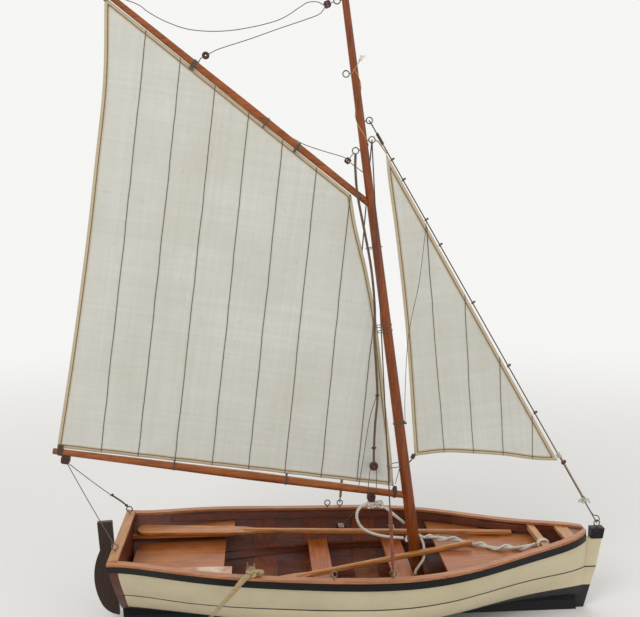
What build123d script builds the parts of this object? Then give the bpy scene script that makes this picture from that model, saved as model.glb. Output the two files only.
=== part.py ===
from build123d import *
from math import atan2, cos, degrees, hypot, radians, sin, tan
import os

# A wooden display model of a gaff-rigged sailing dinghy that stands on its flat keel.
# Millimetres. X points to the bow, Y to port, Z up. The origin is under midships,
# on the keel's bottom face.

# Hull form
LENGTH = 500.0          # transom top to the front of the stem head
BEAM = 180.0            # over the planking at the sheer
WATERLINE = 25.0        # height of the painted waterline
STRIPE = 45.0           # height of the thin dark line along the topsides
PLANKING = 2.6          # thickness of the hull's skin
TRANSOM_THICK = 8.0
TRANSOM_RAKE = 2.5      # degrees, the top leans aft
KEEL_WIDTH = 15.0       # at the flat bottom
KEEL_TOP_WIDTH = 9.0    # where the planking lands
STEM_THICK = 7.0
STEM_HEAD_Z = 76.0      # where the stem ends and its head begins
STEM_CURVE = ((1.5, 0.0), (7.4, 23.5), (13.0, STRIPE), (17.0, 71.0), (18.0, STEM_HEAD_Z))    # forward of the planking, height

# Rails along the sheer
CAP_THICK = 2.4
CAP_INSIDE = 4.4        # how far the capping reaches in from the sheer line
STRAKE_THICK = 3.0
STRAKE_DEEP = 8.5
STRAKE_DROP = 0.05      # top of the strake below the sheer
INWALE_THICK = 2.2
INWALE_DEEP = 6.0

# Timbers and fittings inside
RIB_WIDTH = 26.0
RIB_THICK = 1.5
RIB_PITCH = 55.0
RIB_FIRST = -157.0
RIB_COUNT = 6
RIB_LOW = 1.2           # from the sheer down to a rib's head
RISER_THICK = 2.4
RISER_TOP = 46.0
RISER_DEEP = 6.0
THWART_THICK = 4.0
THWART_WIDTH = 21.0
MIDDLE_THWART_X = -44.5
PLATFORM_THICK = 3.0
FORE_PLATFORM_X = (75.0, 183.0)
FORE_PLATFORM_TOP = 68.0
STERN_PLATFORM_X = (-236.0, -144.0)
STERN_PLATFORM_TOP = 64.0
BENCH_FORE_X = -135.0   # forward end of the two side benches over the stern platform
BENCH_TOP = 75.0
BENCH_THICK = 3.5
BENCH_OUT = 39.0        # from the middle line to a bench's inner edge
BOW_BAR_X = (178.0, 185.0)
BOW_BAR_DEEP = 5.0
BOW_BAR_DROP = 0.35     # top of the bar below the sheer
BREASTHOOK_X = 204.0

# Mast and spars
MAST_FOOT_Z = 17.0
MAST_HEAD_Z = 645.0
MAST_X = 54.3           # where the mast's middle passes the sheer's height
MAST_X_Z = 48.0
MAST_RAKE = 7.83        # degrees, the top leans aft
MAST_FOOT_DIA = 12.5
MAST_HEAD_DIA = 6.5
STEP_SIZE = (30.0, 20.0, 9.0)
SPAR_GAP = 0.4          # play between a spar's end and the mast
BOOM_HEAD_Z = 127.0     # boom's middle line at the mast
BOOM_LENGTH = 357.0
BOOM_RISE = 8.9         # degrees, the outer end is higher
BOOM_DIA = 9.0
BOOM_END_DIA = 6.0
GAFF_HEAD_Z = 420.7
GAFF_LENGTH = 318.0
GAFF_RISE = 38.2
GAFF_DIA = 7.5
GAFF_END_DIA = 5.5

# Sails
SAIL_THICK = 1.0
SAIL_GAP = 0.4          # from the cloth's edge to the spar
LUFF_GAP = 1.4          # from the mast to the mainsail's leading edge
TACK_Z = 136.0
THROAT_Z = 420.0
CLEW_X = -305.5
PEAK_X = -243.0
LEECH = ((-251.0, 500.0), (-268.0, 350.0))
JIB_GAP = 1.1           # from the forestay's middle to the jib's luff
JIB_HEAD_Z = 474.0
JIB_TACK_Z = 165.0
JIB_CLEW = (49.8, 168.5)

# Standing rigging
STAY_DIA = 1.4
EYE_WIRE = 1.2
EYE_DIA = 6.0           # across the middle of the ring's wire
EYE_SHANK = 1.44        # from the wood to the ring's wire
EYE_SINK = 0.03         # how deep a flat shank end sits in a round spar
STAY_GAP = 0.1          # from a stay's end to the ring's wire
MAST_EYES = ((611.0, -1), (545.0, -1), (500.0, 1), (482.0, 1), (474.0, -1))    # height, way: 1 is forward
GUNWALE_EYES = ((-32.0, 1), (-18.0, 1), (-40.0, -1), (15.0, -1))               # X, hand: 1 is port
TRANSOM_EYES = (55.0, -38.8)                                                   # Y of the two sheet eyes
STEM_EYE_X = 243.0
FORESTAY_Z, SHROUD_Z = 500.0, 482.0
SHROUD_X = (15.0, -18.0)                                                       # starboard, port

# Blocks on the boom, as X, size and width, each hung under it
BOOM_BLOCKS = ((-297.5, 8.4, 5.5), (5.5, 8.0, 7.0))
# Blocks on the mast's aft eyes, as the eye's height, the strop's reach aft and down, and size
MAST_BLOCKS = ((611.0, 9.0, 3.5, 6.2), (474.0, 7.5, 9.5, 5.6))
STROP_DIA = 0.8
CLEATS = ((-17.3, 62.0), (39.0, 60.0))                                         # X and height
CLEAT_LONG, CLEAT_THICK, CLEAT_OUT = 10.0, 2.0, 3.2

# Oars: blade tip, grip end, blade length and the blade's tilt from flat in degrees
OAR_THICK = 5.0
BLADE_WIDE = 17.0
BLADE_THICK = 2.4
OARS = {
    "port": ((-237.0, 47.0, 78.4), (161.0, 29.3, 70.8), 112.0, 6.0),
    "starboard": ((-150.0, -41.5, 49.0), (110.0, -0.8, 74.1), 80.0, 0.0),
}

# Loose cords, and the knots on them
CORD_DIA = 3.4
HEMP_DIA = 4.2
HITCH_Z = 81.0          # where the cord goes round the mast
PAINTER = ((59.5, 0.0, 81.2), (70.0, 3.5, 79.6), (83.0, 8.5, 76.0), (96.0, 10.5, 72.3), (108.0, 8.0, 70.5),
           (120.0, 0.5, 70.4), (132.0, -7.5, 70.4), (145.0, -8.0, 70.4), (156.0, -9.3, 71.0),
           (165.0, -11.9, 73.4), (173.8, -14.0, 76.0))
PAINTER_KNOT_Y = (-17.5, -10.5)
BOOM_CORD_LONG = ((6.4, 0.0, 119.4), (-1.5, -0.4, 119.0), (-6.8, -0.8, 115.3), (-9.6, -1.2, 109.4),
                  (-9.0, -1.2, 102.4), (-5.8, -1.0, 95.6), (0.0, -0.6, 90.1), (10.0, 0.2, 85.5),
                  (23.1, 0.8, 82.2), (39.4, 0.0, 81.0))
BOOM_CORD_SHORT = ((14.0, 0.0, 119.0), (21.2, -0.8, 114.0), (28.0, -0.4, 107.6), (34.4, 0.6, 101.0),
                   (40.0, 0.0, 95.6))
TANGLE = ((4.4, 0.0, 118.2), (15.6, 0.0, 117.9), 7.4)    # ends of the knotted bunch's middle line, and its width
HEMP_KNOT = (-115.0, -83.5, 89.0)
HEMP_KNOT_DIA = 9.6
HEMP_ROPE = ((-119.6, -87.2, 88.8), (-125.6, -91.2, 85.0), (-131.8, -92.6, 77.0), (-138.0, -90.6, 68.0),
             (-145.0, -87.0, 58.8), (-152.0, -83.6, 49.0))

# Rudder
RUDDER_THICK = 5.0
RUDDER_GAP = 4.2        # rudder's leading edge to the transom
PINTLE_DIA = 1.6

# share of length, rabbet height, half beams at waterline, stripe and sheer, sheer height
STATIONS = (
    (-0.500, 19.0, 13.5, 32.0, 64.5, 91.3),
    (-0.360, 15.0, 32.5, 51.0, 75.0, 86.6),
    (-0.200, 13.0, 56.0, 68.5, 85.5, 82.0),
    (-0.020, 12.0, 70.0, 78.5, 90.0, 78.8),
    (0.120, 12.0, 61.0, 72.0, 83.0, 77.9),
    (0.250, 12.0, 36.5, 47.0, 58.0, 77.9),
    (0.360, 12.0, 17.0, 25.0, 33.0, 79.6),
    (0.460, 12.5, 3.6, 4.0, 4.4, 84.4),
)
FULL_HALF_BEAM = 90.0   # the half beam that the table's widths are drawn at
WIDEN = BEAM / (2 * FULL_HALF_BEAM)
FLOOR_REACH = 0.62      # share of the way to the bilge where the floor starts to turn up
FLOOR_LIFT = 0.36       # share of the rise to the bilge that the floor has there


def station_row(share):
    """The station table read at a share of the length from midships."""
    rows = STATIONS
    share = min(max(share, rows[0][0]), rows[-1][0])
    for low, high in zip(rows, rows[1:]):
        if share <= high[0]:
            t = (share - low[0]) / (high[0] - low[0])
            return tuple(a + t * (b - a) for a, b in zip(low, high))
    return rows[-1]


def half_points(x, inset):
    """Keel, floor, bilge, stripe, topside and sheer points of a section, moved in by inset."""
    share, rabbet, at_water, at_stripe, at_sheer, sheer = station_row(x / LENGTH)
    keel_half = min(KEEL_TOP_WIDTH / 2, 0.6 * at_water * WIDEN)
    slant = 0.7 * inset
    garboard = (max(keel_half, 0.8), rabbet + inset)
    bilge = (max(at_water * WIDEN - slant, 1.0), WATERLINE + slant)
    floor = (garboard[0] + FLOOR_REACH * (bilge[0] - garboard[0]),
             garboard[1] + FLOOR_LIFT * (bilge[1] - garboard[1]))
    stripe = (max(at_stripe * WIDEN - 0.95 * inset, 1.3), STRIPE + 0.3 * inset)
    top = (max(at_sheer * WIDEN - inset, 1.6), sheer)
    swell = 0.045 * hypot(top[0] - stripe[0], top[1] - stripe[1])
    side = ((stripe[0] + top[0]) / 2 + swell, (stripe[1] + top[1]) / 2)
    return garboard, floor, bilge, stripe, side, top


def section(x, inset, rise):
    """One closed cross-section of the hull form, its top raised by rise above the sheer."""
    garboard, floor, bilge, stripe, side, top = half_points(x, inset)
    edges = []
    for hand in (1, -1):
        def place(point):
            return Vector(x, hand * point[0], point[1])
        edges.append(Line(place(garboard), place(floor)))
        edges.append(ThreePointArc(place(floor), place(bilge), place(stripe)))
        edges.append(ThreePointArc(place(stripe), place(side), place(top)))
        if rise:
            edges.append(Line(place(top), place((top[0], top[1] + rise))))
    lid = top[1] + rise
    edges.append(Line((x, top[0], lid), (x, -top[0], lid)))
    edges.append(Line(place(garboard), (x, garboard[0], garboard[1])))
    return make_face(Wire.combine([e.edge() for e in edges])[0])


def station_list(first, last):
    """The table's stations that lie between two ends, with the ends."""
    inner = [row[0] * LENGTH for row in STATIONS if first + 4 < row[0] * LENGTH < last - 4]
    return [first] + inner + [last]


def hull_form(first, last, inset, rise=0.0):
    """Loft the hull form between two cross-sections."""
    return loft([section(x, inset, rise) for x in station_list(first, last)])


def slab(x0, x1, y0, y1, z0, z1):
    """A box given by its two corners."""
    size = (x1 - x0, y1 - y0, z1 - z0)
    middle = ((x0 + x1) / 2, (y0 + y1) / 2, (z0 + z1) / 2)
    return Pos(*middle) * Box(*size)


def profile_plane(thick):
    """The plane that a side profile is drawn on, so that its thickness is centred on Y."""
    return Plane(origin=(0, thick / 2, 0), x_dir=(1, 0, 0), z_dir=(0, -1, 0))


def rail(first, last, hand, inner, outer, low, high):
    """A strip along the sheer; inner and outer are measured from the sheer's half beam."""
    faces = []
    for x in station_list(first, last):
        garboard, floor, bilge, stripe, side, top = half_points(x, 0.0)
        flare = (top[0] - side[0]) / (top[1] - side[1])
        corners = []
        for across, up in ((inner, low), (outer, low), (outer, high), (inner, high)):
            half = max(top[0] + flare * min(up, 0.0) + across, 0.4)
            corners.append(Vector(x, hand * half, top[1] + up))
        faces.append(make_face(Polyline(*corners, close=True)))
    return loft(faces)


def rod(start, end, start_dia, end_dia=None):
    """A round rod between two points, tapered where the diameters differ."""
    start, end = Vector(*start), Vector(*end)
    length = (end - start).length
    plane = Plane(origin=start, z_dir=(end - start).normalized())
    if end_dia is None or end_dia == start_dia:
        return plane * extrude(Circle(start_dia / 2), length)
    return plane * loft([Circle(start_dia / 2), Pos(0, 0, length) * Circle(end_dia / 2)])


def ring_middle(root, direction):
    """Middle of an eye's ring, given where its shank enters the wood and its way out."""
    return Vector(*root) + Vector(*direction).normalized() * (EYE_DIA / 2 + EYE_SHANK)


def eye(root, direction, ring_normal):
    """A wire ring on a short shank."""
    way = Vector(*direction).normalized()
    ring = Plane(origin=ring_middle(root, direction), z_dir=Vector(*ring_normal)) * Torus(EYE_DIA / 2, EYE_WIRE / 2)
    return ring + rod(root, Vector(*root) + way * EYE_SHANK, EYE_WIRE)


# Lines that the rig is set out on
MAST_SLOPE = tan(radians(MAST_RAKE))
MAST_DIR = Vector(-sin(radians(MAST_RAKE)), 0, cos(radians(MAST_RAKE)))


def mast_x(z):
    """X of the mast's middle line at a height."""
    return MAST_X - MAST_SLOPE * (z - MAST_X_Z)


def mast_dia(z):
    """Diameter of the mast at a height."""
    share = (z - MAST_FOOT_Z) / (MAST_HEAD_Z - MAST_FOOT_Z)
    return MAST_FOOT_DIA + share * (MAST_HEAD_DIA - MAST_FOOT_DIA)


def along(start, angle, length):
    """A point in the middle plane, aft and up from start."""
    return (start[0] - length * cos(radians(angle)), 0.0, start[2] + length * sin(radians(angle)))


nodes = {}

# Hull skin, transom and backbone
AFT, FORE = -LENGTH / 2, STATIONS[-1][0] * LENGTH
outer = hull_form(AFT - 2, FORE, 0.0)
inner = hull_form(AFT - 4, FORE - 14, PLANKING, 30.0)
rib_face = hull_form(AFT - 4, FORE - 22, PLANKING + RIB_THICK, 30.0)
riser_face = hull_form(AFT - 4, FORE - 32, PLANKING + RIB_THICK + RISER_THICK, 30.0)

TRANSOM_TOP = STATIONS[0][5]
rake = Pos(AFT, 0, TRANSOM_TOP) * Rot(0, -TRANSOM_RAKE, 0)
behind = rake * slab(-60, 0, -200, 200, -200, 200)
behind_board = rake * slab(-60, TRANSOM_THICK, -200, 200, -200, 200)
nodes["hull_planking"] = outer - inner - behind_board
nodes["transom"] = (outer & behind_board) - behind

stem_front = [(FORE + forward, z) for forward, z in STEM_CURVE]
stem_side = make_face(Polyline((FORE - 8, 0), *stem_front, (FORE - 8, STEM_HEAD_Z), close=True))
stem = profile_plane(STEM_THICK) * extrude(stem_side, STEM_THICK)
STEM_HEAD_TOP = STATIONS[-1][5] + 2.5
nodes["stem"] = stem - outer
head_side = make_face(Polyline(
    (FORE + 6, STEM_HEAD_Z), (FORE + 18.5, STEM_HEAD_Z), (LENGTH / 2, STEM_HEAD_TOP), (FORE + 6, STEM_HEAD_TOP), close=True))
head = profile_plane(STEM_THICK + 2) * extrude(head_side, STEM_THICK + 2)
nodes["stem_head"] = head - outer

keel_end = make_face(Polyline(
    (-KEEL_WIDTH / 2, 0), (KEEL_WIDTH / 2, 0), (KEEL_TOP_WIDTH / 2, 9), (KEEL_TOP_WIDTH / 2, 30),
    (-KEEL_TOP_WIDTH / 2, 30), (-KEEL_TOP_WIDTH / 2, 9), close=True))
keel_bar = Plane(origin=(AFT, 0, 0), x_dir=(0, 1, 0), z_dir=(1, 0, 0)) * extrude(keel_end, FORE - 8 - AFT)
nodes["keel"] = keel_bar - outer - behind

# Rails along the sheer
RAIL_END = FORE - 1.0
inside_rail = PLANKING + RIB_THICK
for side_name, hand in (("port", 1), ("starboard", -1)):
    cap = rail(AFT - 2, RAIL_END, hand, -CAP_INSIDE, STRAKE_THICK, -0.3, CAP_THICK) - outer - behind
    strake = rail(AFT - 2, RAIL_END, hand, -0.8, STRAKE_THICK, -STRAKE_DEEP, -STRAKE_DROP) - outer - behind - cap
    inwale = rail(AFT + 6, BOW_BAR_X[0], hand, -inside_rail - INWALE_THICK, -inside_rail,
                  -INWALE_DEEP - 1.5, -1.5) & rib_face
    nodes["gunwale_cap_" + side_name] = cap - head
    nodes["rubbing_strake_" + side_name] = strake - head
    nodes["inwale_" + side_name] = inwale - behind_board

transom_half = STATIONS[0][4] * WIDEN
transom_cap = rake * slab(0, TRANSOM_THICK + 1.5, -transom_half + CAP_INSIDE + 0.4,
                          transom_half - CAP_INSIDE - 0.4, 0.0, CAP_THICK)
nodes["transom_cap"] = transom_cap - outer - nodes["gunwale_cap_port"] - nodes["gunwale_cap_starboard"]

# Timbers
ribs = []
skin_gap = inner - rib_face
for number in range(RIB_COUNT):
    x = RIB_FIRST + number * RIB_PITCH
    sheer = station_row(x / LENGTH)[5]
    ribs.append(skin_gap & slab(x - RIB_WIDTH / 2, x + RIB_WIDTH / 2, -200, 200, 0, sheer - RIB_LOW))
nodes["ribs"] = Compound(children=[r for group in ribs for r in group.solids()])

riser_gap = rib_face - riser_face
riser = riser_gap & slab(-150, 150, -200, 200, RISER_TOP - RISER_DEEP, RISER_TOP)
nodes["thwart_risers"] = Compound(children=list(riser.solids()))


def thwart(middle):
    """A seat plank across the boat that rests on the two risers."""
    plank = slab(middle - THWART_WIDTH / 2, middle + THWART_WIDTH / 2, -200, 200,
                 RISER_TOP, RISER_TOP + THWART_THICK)
    return plank & rib_face


nodes["middle_thwart"] = thwart(MIDDLE_THWART_X)
MAST_THWART_X = mast_x(RISER_TOP + THWART_THICK) - MAST_FOOT_DIA / 2 - 0.6 - THWART_WIDTH / 2
nodes["mast_thwart"] = thwart(MAST_THWART_X)

fore_box = slab(*FORE_PLATFORM_X, -200, 200, FORE_PLATFORM_TOP - PLATFORM_THICK, FORE_PLATFORM_TOP)
nodes["fore_platform"] = fore_box & rib_face
stern_box = slab(*STERN_PLATFORM_X, -200, 200, STERN_PLATFORM_TOP - PLATFORM_THICK, STERN_PLATFORM_TOP)
nodes["stern_platform"] = (stern_box & rib_face) - behind_board

for side_name, hand in (("port", 1), ("starboard", -1)):
    edges = sorted((hand * BENCH_OUT * WIDEN, hand * BEAM))
    bench = slab(AFT, BENCH_FORE_X, *edges, BENCH_TOP - BENCH_THICK, BENCH_TOP)
    nodes["side_bench_" + side_name] = (bench & rib_face) - behind_board

bow_half = station_row(BOW_BAR_X[0] / LENGTH)[4] * WIDEN
bow_sheer = station_row(BOW_BAR_X[0] / LENGTH)[5] - BOW_BAR_DROP
bow_bar = slab(*BOW_BAR_X, -bow_half - 20, bow_half + 20, bow_sheer - BOW_BAR_DEEP, bow_sheer)
nodes["bow_bar"] = bow_bar & inner

hook_box = slab(BREASTHOOK_X, FORE, -60, 60, 78, 84.2)
hook = hook_box & hull_form(AFT - 4, FORE - 14, PLANKING)
nodes["breasthook"] = hook - nodes["gunwale_cap_port"] - nodes["gunwale_cap_starboard"]

# Mast
mast_foot = (mast_x(MAST_FOOT_Z), 0, MAST_FOOT_Z)
mast_head = (mast_x(MAST_HEAD_Z), 0, MAST_HEAD_Z)
mast = rod(mast_foot, mast_head, MAST_FOOT_DIA, MAST_HEAD_DIA)
nodes["mast"] = mast
step_x = mast_x(MAST_FOOT_Z)
step = slab(step_x - STEP_SIZE[0] / 2, step_x + STEP_SIZE[0] / 2, -STEP_SIZE[1] / 2, STEP_SIZE[1] / 2,
            8.0, 14.0 + STEP_SIZE[2])
nodes["mast_step"] = (step & rib_face) - mast

# Spars
boom_start = (mast_x(BOOM_HEAD_Z), 0.0, BOOM_HEAD_Z)
gaff_start = (mast_x(GAFF_HEAD_Z), 0.0, GAFF_HEAD_Z)
boom_end = along(boom_start, BOOM_RISE, BOOM_LENGTH)
gaff_end = along(gaff_start, GAFF_RISE, GAFF_LENGTH)


def mast_clearance(z, gap):
    """The mast's own shape, wider by a gap, about a height."""
    low, high = z - 60, z + 60
    return rod((mast_x(low), 0, low), (mast_x(high), 0, high), mast_dia(low) + 2 * gap, mast_dia(high) + 2 * gap)


def spar(start, end, start_dia, middle_dia, end_dia, z):
    """A spar that swells at its middle, its inner end hollowed to the mast."""
    start_v, end_v = Vector(*start), Vector(*end)
    middle = start_v + (end_v - start_v) * 0.45
    whole = rod(start_v, middle, start_dia, middle_dia) + rod(middle, end_v, middle_dia, end_dia)
    trimmed = whole - mast_clearance(z, SPAR_GAP)
    return max(trimmed.solids(), key=lambda s: s.volume)


nodes["boom"] = spar(boom_start, boom_end, BOOM_END_DIA + 1, BOOM_DIA, BOOM_END_DIA, BOOM_HEAD_Z)
nodes["gaff"] = spar(gaff_start, gaff_end, GAFF_END_DIA + 1, GAFF_DIA, GAFF_END_DIA, GAFF_HEAD_Z)


def plate(points, thick):
    """A flat piece in the middle plane, given by its corners as X and Z."""
    side = make_face(Polyline(*points, close=True))
    return profile_plane(thick) * extrude(side, thick)


def boom_top(x):
    """Height of the cloth's lower edge over the boom."""
    return BOOM_HEAD_Z + (boom_start[0] - x) * tan(radians(BOOM_RISE)) + BOOM_DIA / 2 + SAIL_GAP


def gaff_under(x):
    """Height of the cloth's upper edge under the gaff."""
    return GAFF_HEAD_Z + (gaff_start[0] - x) * tan(radians(GAFF_RISE)) - (GAFF_DIA / 2 + SAIL_GAP) / cos(radians(GAFF_RISE))


tack_x = mast_x(TACK_Z) - mast_dia(TACK_Z) / 2 - LUFF_GAP - 4.0
throat_x = mast_x(THROAT_Z) - mast_dia(THROAT_Z) / 2 - LUFF_GAP - 1.0
nodes["mainsail"] = plate((
    (tack_x, boom_top(tack_x)), (throat_x, gaff_under(throat_x)),
    (PEAK_X, gaff_under(PEAK_X)), *LEECH, (CLEW_X, boom_top(CLEW_X))), SAIL_THICK)

# Eyes, and the stays between them


def mast_eye_root(z, way):
    """Where a mast eye's shank meets the mast, and the way it points."""
    half = mast_dia(z) / 2 - EYE_SINK
    out = Vector(cos(radians(MAST_RAKE)), 0, sin(radians(MAST_RAKE))) * way
    return Vector(mast_x(z), 0, z) + out * half, out


def mast_ring(z, way):
    """Middle of a mast eye's ring."""
    return ring_middle(*mast_eye_root(z, way))


nodes["mast_eyes"] = Compound(children=[eye(*mast_eye_root(z, way), (0, 1, 0)) for z, way in MAST_EYES])

stem_eye = eye((STEM_EYE_X, 0, STEM_HEAD_TOP), (0, 0, 1), (0, 1, 0))
nodes["stem_eye"] = stem_eye


def gunwale_root(x, hand):
    """Where an eye stands on the gunwale capping."""
    top = half_points(x, 0.0)[-1]
    return (x, hand * (top[0] - 1.0), top[1] + CAP_THICK - EYE_SINK)


def gunwale_ring(x, hand):
    """Middle of a gunwale eye's ring."""
    return ring_middle(gunwale_root(x, hand), (0, 0, 1))


nodes["gunwale_eyes"] = Compound(
    children=[eye(gunwale_root(x, hand), (0, 0, 1), (0, 1, 0)) for x, hand in GUNWALE_EYES])

stay_low = ring_middle((STEM_EYE_X, 0, STEM_HEAD_TOP), (0, 0, 1))
stay_high = mast_ring(FORESTAY_Z, 1)


def stay(high, low, trim):
    """A taut stay between two rings, held a little short of their wires."""
    way = (low - high).normalized()
    return rod(high + way * trim, low - way * trim, STAY_DIA)


TRIM = EYE_DIA / 2 + EYE_WIRE / 2 + STAY_GAP
nodes["forestay"] = stay(stay_high, stay_low, TRIM)
shroud_high = mast_ring(SHROUD_Z, 1)
nodes["shroud_starboard"] = stay(shroud_high, gunwale_ring(SHROUD_X[0], -1), TRIM)
nodes["shroud_port"] = stay(shroud_high, gunwale_ring(SHROUD_X[1], 1), TRIM)

# Jib, its luff just behind the forestay
stay_dir = (stay_low - stay_high).normalized()
stay_normal = Vector(-stay_dir.Z, 0, stay_dir.X)
if stay_normal.X > 0:
    stay_normal = stay_normal * -1


def off_stay(z, gap):
    """X and Z of a point behind the forestay, at about a height."""
    share = (stay_high.Z - z) / (stay_high.Z - stay_low.Z)
    point = stay_high + (stay_low - stay_high) * share + stay_normal * gap
    return (point.X, point.Z)


nodes["jib"] = plate((off_stay(JIB_HEAD_Z, JIB_GAP), off_stay(JIB_TACK_Z, JIB_GAP), JIB_CLEW), SAIL_THICK)

# Oars, each a squared loom with a flat blade


def oar(tip, grip, blade_long, tilt):
    """An oar from its blade's tip to its grip; tilt turns the blade up from flat, outer edge high."""
    tip = Vector(tip[0], tip[1] * WIDEN, tip[2])
    grip = Vector(grip[0], grip[1] * WIDEN, grip[2])
    length = (grip - tip).length
    side = Vector(0, 0, 1).cross(grip - tip).normalized()
    lift = (grip - tip).cross(side).normalized()
    face = lift * cos(radians(tilt)) - side * sin(radians(tilt))
    plane = Plane(origin=tip, x_dir=grip - tip, z_dir=face)
    neck = blade_long + 18
    blade_side = make_face(Wire.combine([e.edge() for e in (
        Line((neck, OAR_THICK / 2), (blade_long, BLADE_WIDE / 2 - 2)),
        Line((blade_long, BLADE_WIDE / 2 - 2), (9, BLADE_WIDE / 2)),
        ThreePointArc((9, BLADE_WIDE / 2), (0, 0), (9, -BLADE_WIDE / 2)),
        Line((9, -BLADE_WIDE / 2), (blade_long, -BLADE_WIDE / 2 + 2)),
        Line((blade_long, -BLADE_WIDE / 2 + 2), (neck, -OAR_THICK / 2)),
        Line((neck, -OAR_THICK / 2), (neck, OAR_THICK / 2)))])[0])
    blade = Pos(0, 0, -BLADE_THICK / 2) * extrude(blade_side, BLADE_THICK)
    loom_box = Pos((blade_long + length) / 2, 0, 0) * Box(length - blade_long, OAR_THICK, OAR_THICK)
    loom = chamfer(loom_box.edges().filter_by(Axis.X), 1.1)
    return plane * (blade + loom)


for side_name, oar_row in OARS.items():
    nodes["oar_" + side_name] = oar(*oar_row)

# Rudder, drawn behind the transom's aft face and down from the transom's top
lead = -RUDDER_GAP
rudder_edge = Wire.combine([e.edge() for e in (
    Line((lead, -82), (lead, 17.4)), Line((lead, 17.4), (lead - 14.5, 17.4)),
    Line((lead - 14.5, 17.4), (lead - 14, -12)),
    ThreePointArc((lead - 14, -12), (lead - 22, -42), (lead - 17, -68)),
    ThreePointArc((lead - 17, -68), (lead - 10, -77.5), (lead, -82)))])[0]
blade = profile_plane(RUDDER_THICK) * extrude(make_face(rudder_edge), RUDDER_THICK)
nodes["rudder"] = rake * blade

# Rudder hangings at heights below the transom's top
HANGINGS = (-9.0, -52.0)
AXIS = -RUDDER_GAP / 2 - 0.2
gudgeons = []
pintles = []
for z in HANGINGS:
    ring = Pos(AXIS, 0, z) * Cylinder(PINTLE_DIA / 2 + 0.8, 3.0)
    lug = slab(AXIS, 0.0, -1.1, 1.1, z - 1.5, z + 1.5)
    bore = Pos(AXIS, 0, z) * Cylinder(PINTLE_DIA / 2 + 0.2, 6.0)
    gudgeons.append(rake * (ring + lug - bore))
    pin = Pos(AXIS, 0, z) * Cylinder(PINTLE_DIA / 2, 7.0)
    strap = slab(lead, AXIS, -0.9, 0.9, z + 1.8, z + 4.3)
    head_ring = Pos(AXIS, 0, z + 3.05) * Cylinder(PINTLE_DIA / 2 + 0.3, 2.5)
    pintles.append(rake * (pin + strap + head_ring))
nodes["gudgeons"] = Compound(children=gudgeons)
nodes["pintles"] = Compound(children=pintles)

# Sheet eyes on the transom, and cleats on the port side
nodes["transom_eyes"] = Compound(children=[
    rake * eye((TRANSOM_THICK / 2, y, CAP_THICK), (0, 0, 1), (0, 1, 0)) for y in TRANSOM_EYES])


def cleat(x, z):
    """A horned cleat whose foot is cut to the skin's inner face."""
    garboard, floor, bilge, stripe, side, top = half_points(x, PLANKING)
    wall = stripe[0] + (side[0] - stripe[0]) * (z - stripe[1]) / (side[1] - stripe[1])
    foot = slab(x - CLEAT_THICK, x + CLEAT_THICK, wall - CLEAT_OUT, wall + 3, z - CLEAT_THICK / 2, z + CLEAT_THICK / 2)
    horns = slab(x - CLEAT_LONG / 2, x + CLEAT_LONG / 2, wall - CLEAT_OUT - CLEAT_THICK, wall - CLEAT_OUT,
                 z - CLEAT_THICK / 2, z + CLEAT_THICK / 2)
    return (foot & inner) + chamfer(horns.edges().filter_by(Axis.Z), 0.8)


nodes["cleats"] = Compound(children=[cleat(x, z) for x, z in CLEATS])


# Blocks
def block(middle, size, wide, tilt=0.0):
    """A square wooden block with rounded corners and two holes across it for the line."""
    shell = Box(size, wide, size)
    shell = fillet(shell.edges().filter_by(Axis.Y), size * 0.28)
    for z in (-1, 1):
        shell -= Pos(0, 0, z * size * 0.2) * Rot(90, 0, 0) * Cylinder(size * 0.11, wide + 1)
    return Pos(*middle) * Rot(0, tilt, 0) * shell


boom_blocks = []
for x, size, wide in BOOM_BLOCKS:
    under = BOOM_HEAD_Z + (boom_start[0] - x) * tan(radians(BOOM_RISE)) - BOOM_DIA * 0.3
    boom_blocks.append(block((x, 0, under - size / 2), size, wide, BOOM_RISE) - nodes["boom"])
nodes["boom_blocks"] = Compound(children=boom_blocks)

mast_blocks = []
for z, aft, down, size in MAST_BLOCKS:
    ring = mast_ring(z, -1)
    way = Vector(-aft, 0, -down).normalized()
    strop = rod(ring + way * TRIM, ring + Vector(-aft, 0, -down), STROP_DIA)
    tilt = degrees(atan2(down, aft))
    mast_blocks.append(strop + block(ring + Vector(-aft, 0, -down), size, size * 0.8, -tilt))
nodes["mast_blocks"] = Compound(children=mast_blocks)


# Loose cords and their knots
def tube(name, points, dia):
    """A cord along straight runs joined by wide tangent arcs."""
    spots = [Vector(*point) for point in points]
    radii = []
    for before, here, after in zip(spots, spots[1:], spots[2:]):
        run = min((here - before).length, (after - here).length)
        turn = radians((here - before).get_angle(after - here))
        radii.append(0.45 * run / tan(turn / 2))
    line = FilletPolyline(*spots, radius=radii)
    solid = sweep(Plane(origin=spots[0], z_dir=spots[1] - spots[0]) * Circle(dia / 2), path=line.wire())
    print(name, "length", round(line.length, 1), "radii", [round(r, 1) for r in radii],
          "volume share", round(solid.volume / (line.length * 3.14159 * dia * dia / 4), 4))
    return solid


hitch_middle = Vector(mast_x(HITCH_Z), 0, HITCH_Z)
hitch_reach = mast_dia(HITCH_Z) / 2 + CORD_DIA / 2 + 0.15
nodes["mast_hitch"] = Plane(origin=hitch_middle, z_dir=MAST_DIR) * Torus(hitch_reach, CORD_DIA / 2)
nodes["painter"] = tube("painter", PAINTER, CORD_DIA)
knot_low, knot_high = bow_sheer - BOW_BAR_DEEP, bow_sheer
knot = slab(BOW_BAR_X[0] - CORD_DIA, BOW_BAR_X[1] + CORD_DIA, *PAINTER_KNOT_Y, knot_low - CORD_DIA, knot_high + CORD_DIA)
knot = fillet(knot.edges(), CORD_DIA * 0.4)
nodes["painter_knot"] = knot - slab(BOW_BAR_X[0] - 0.1, BOW_BAR_X[1] + 0.1, -40, 40, knot_low - 0.1, knot_high + 0.1)

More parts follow.
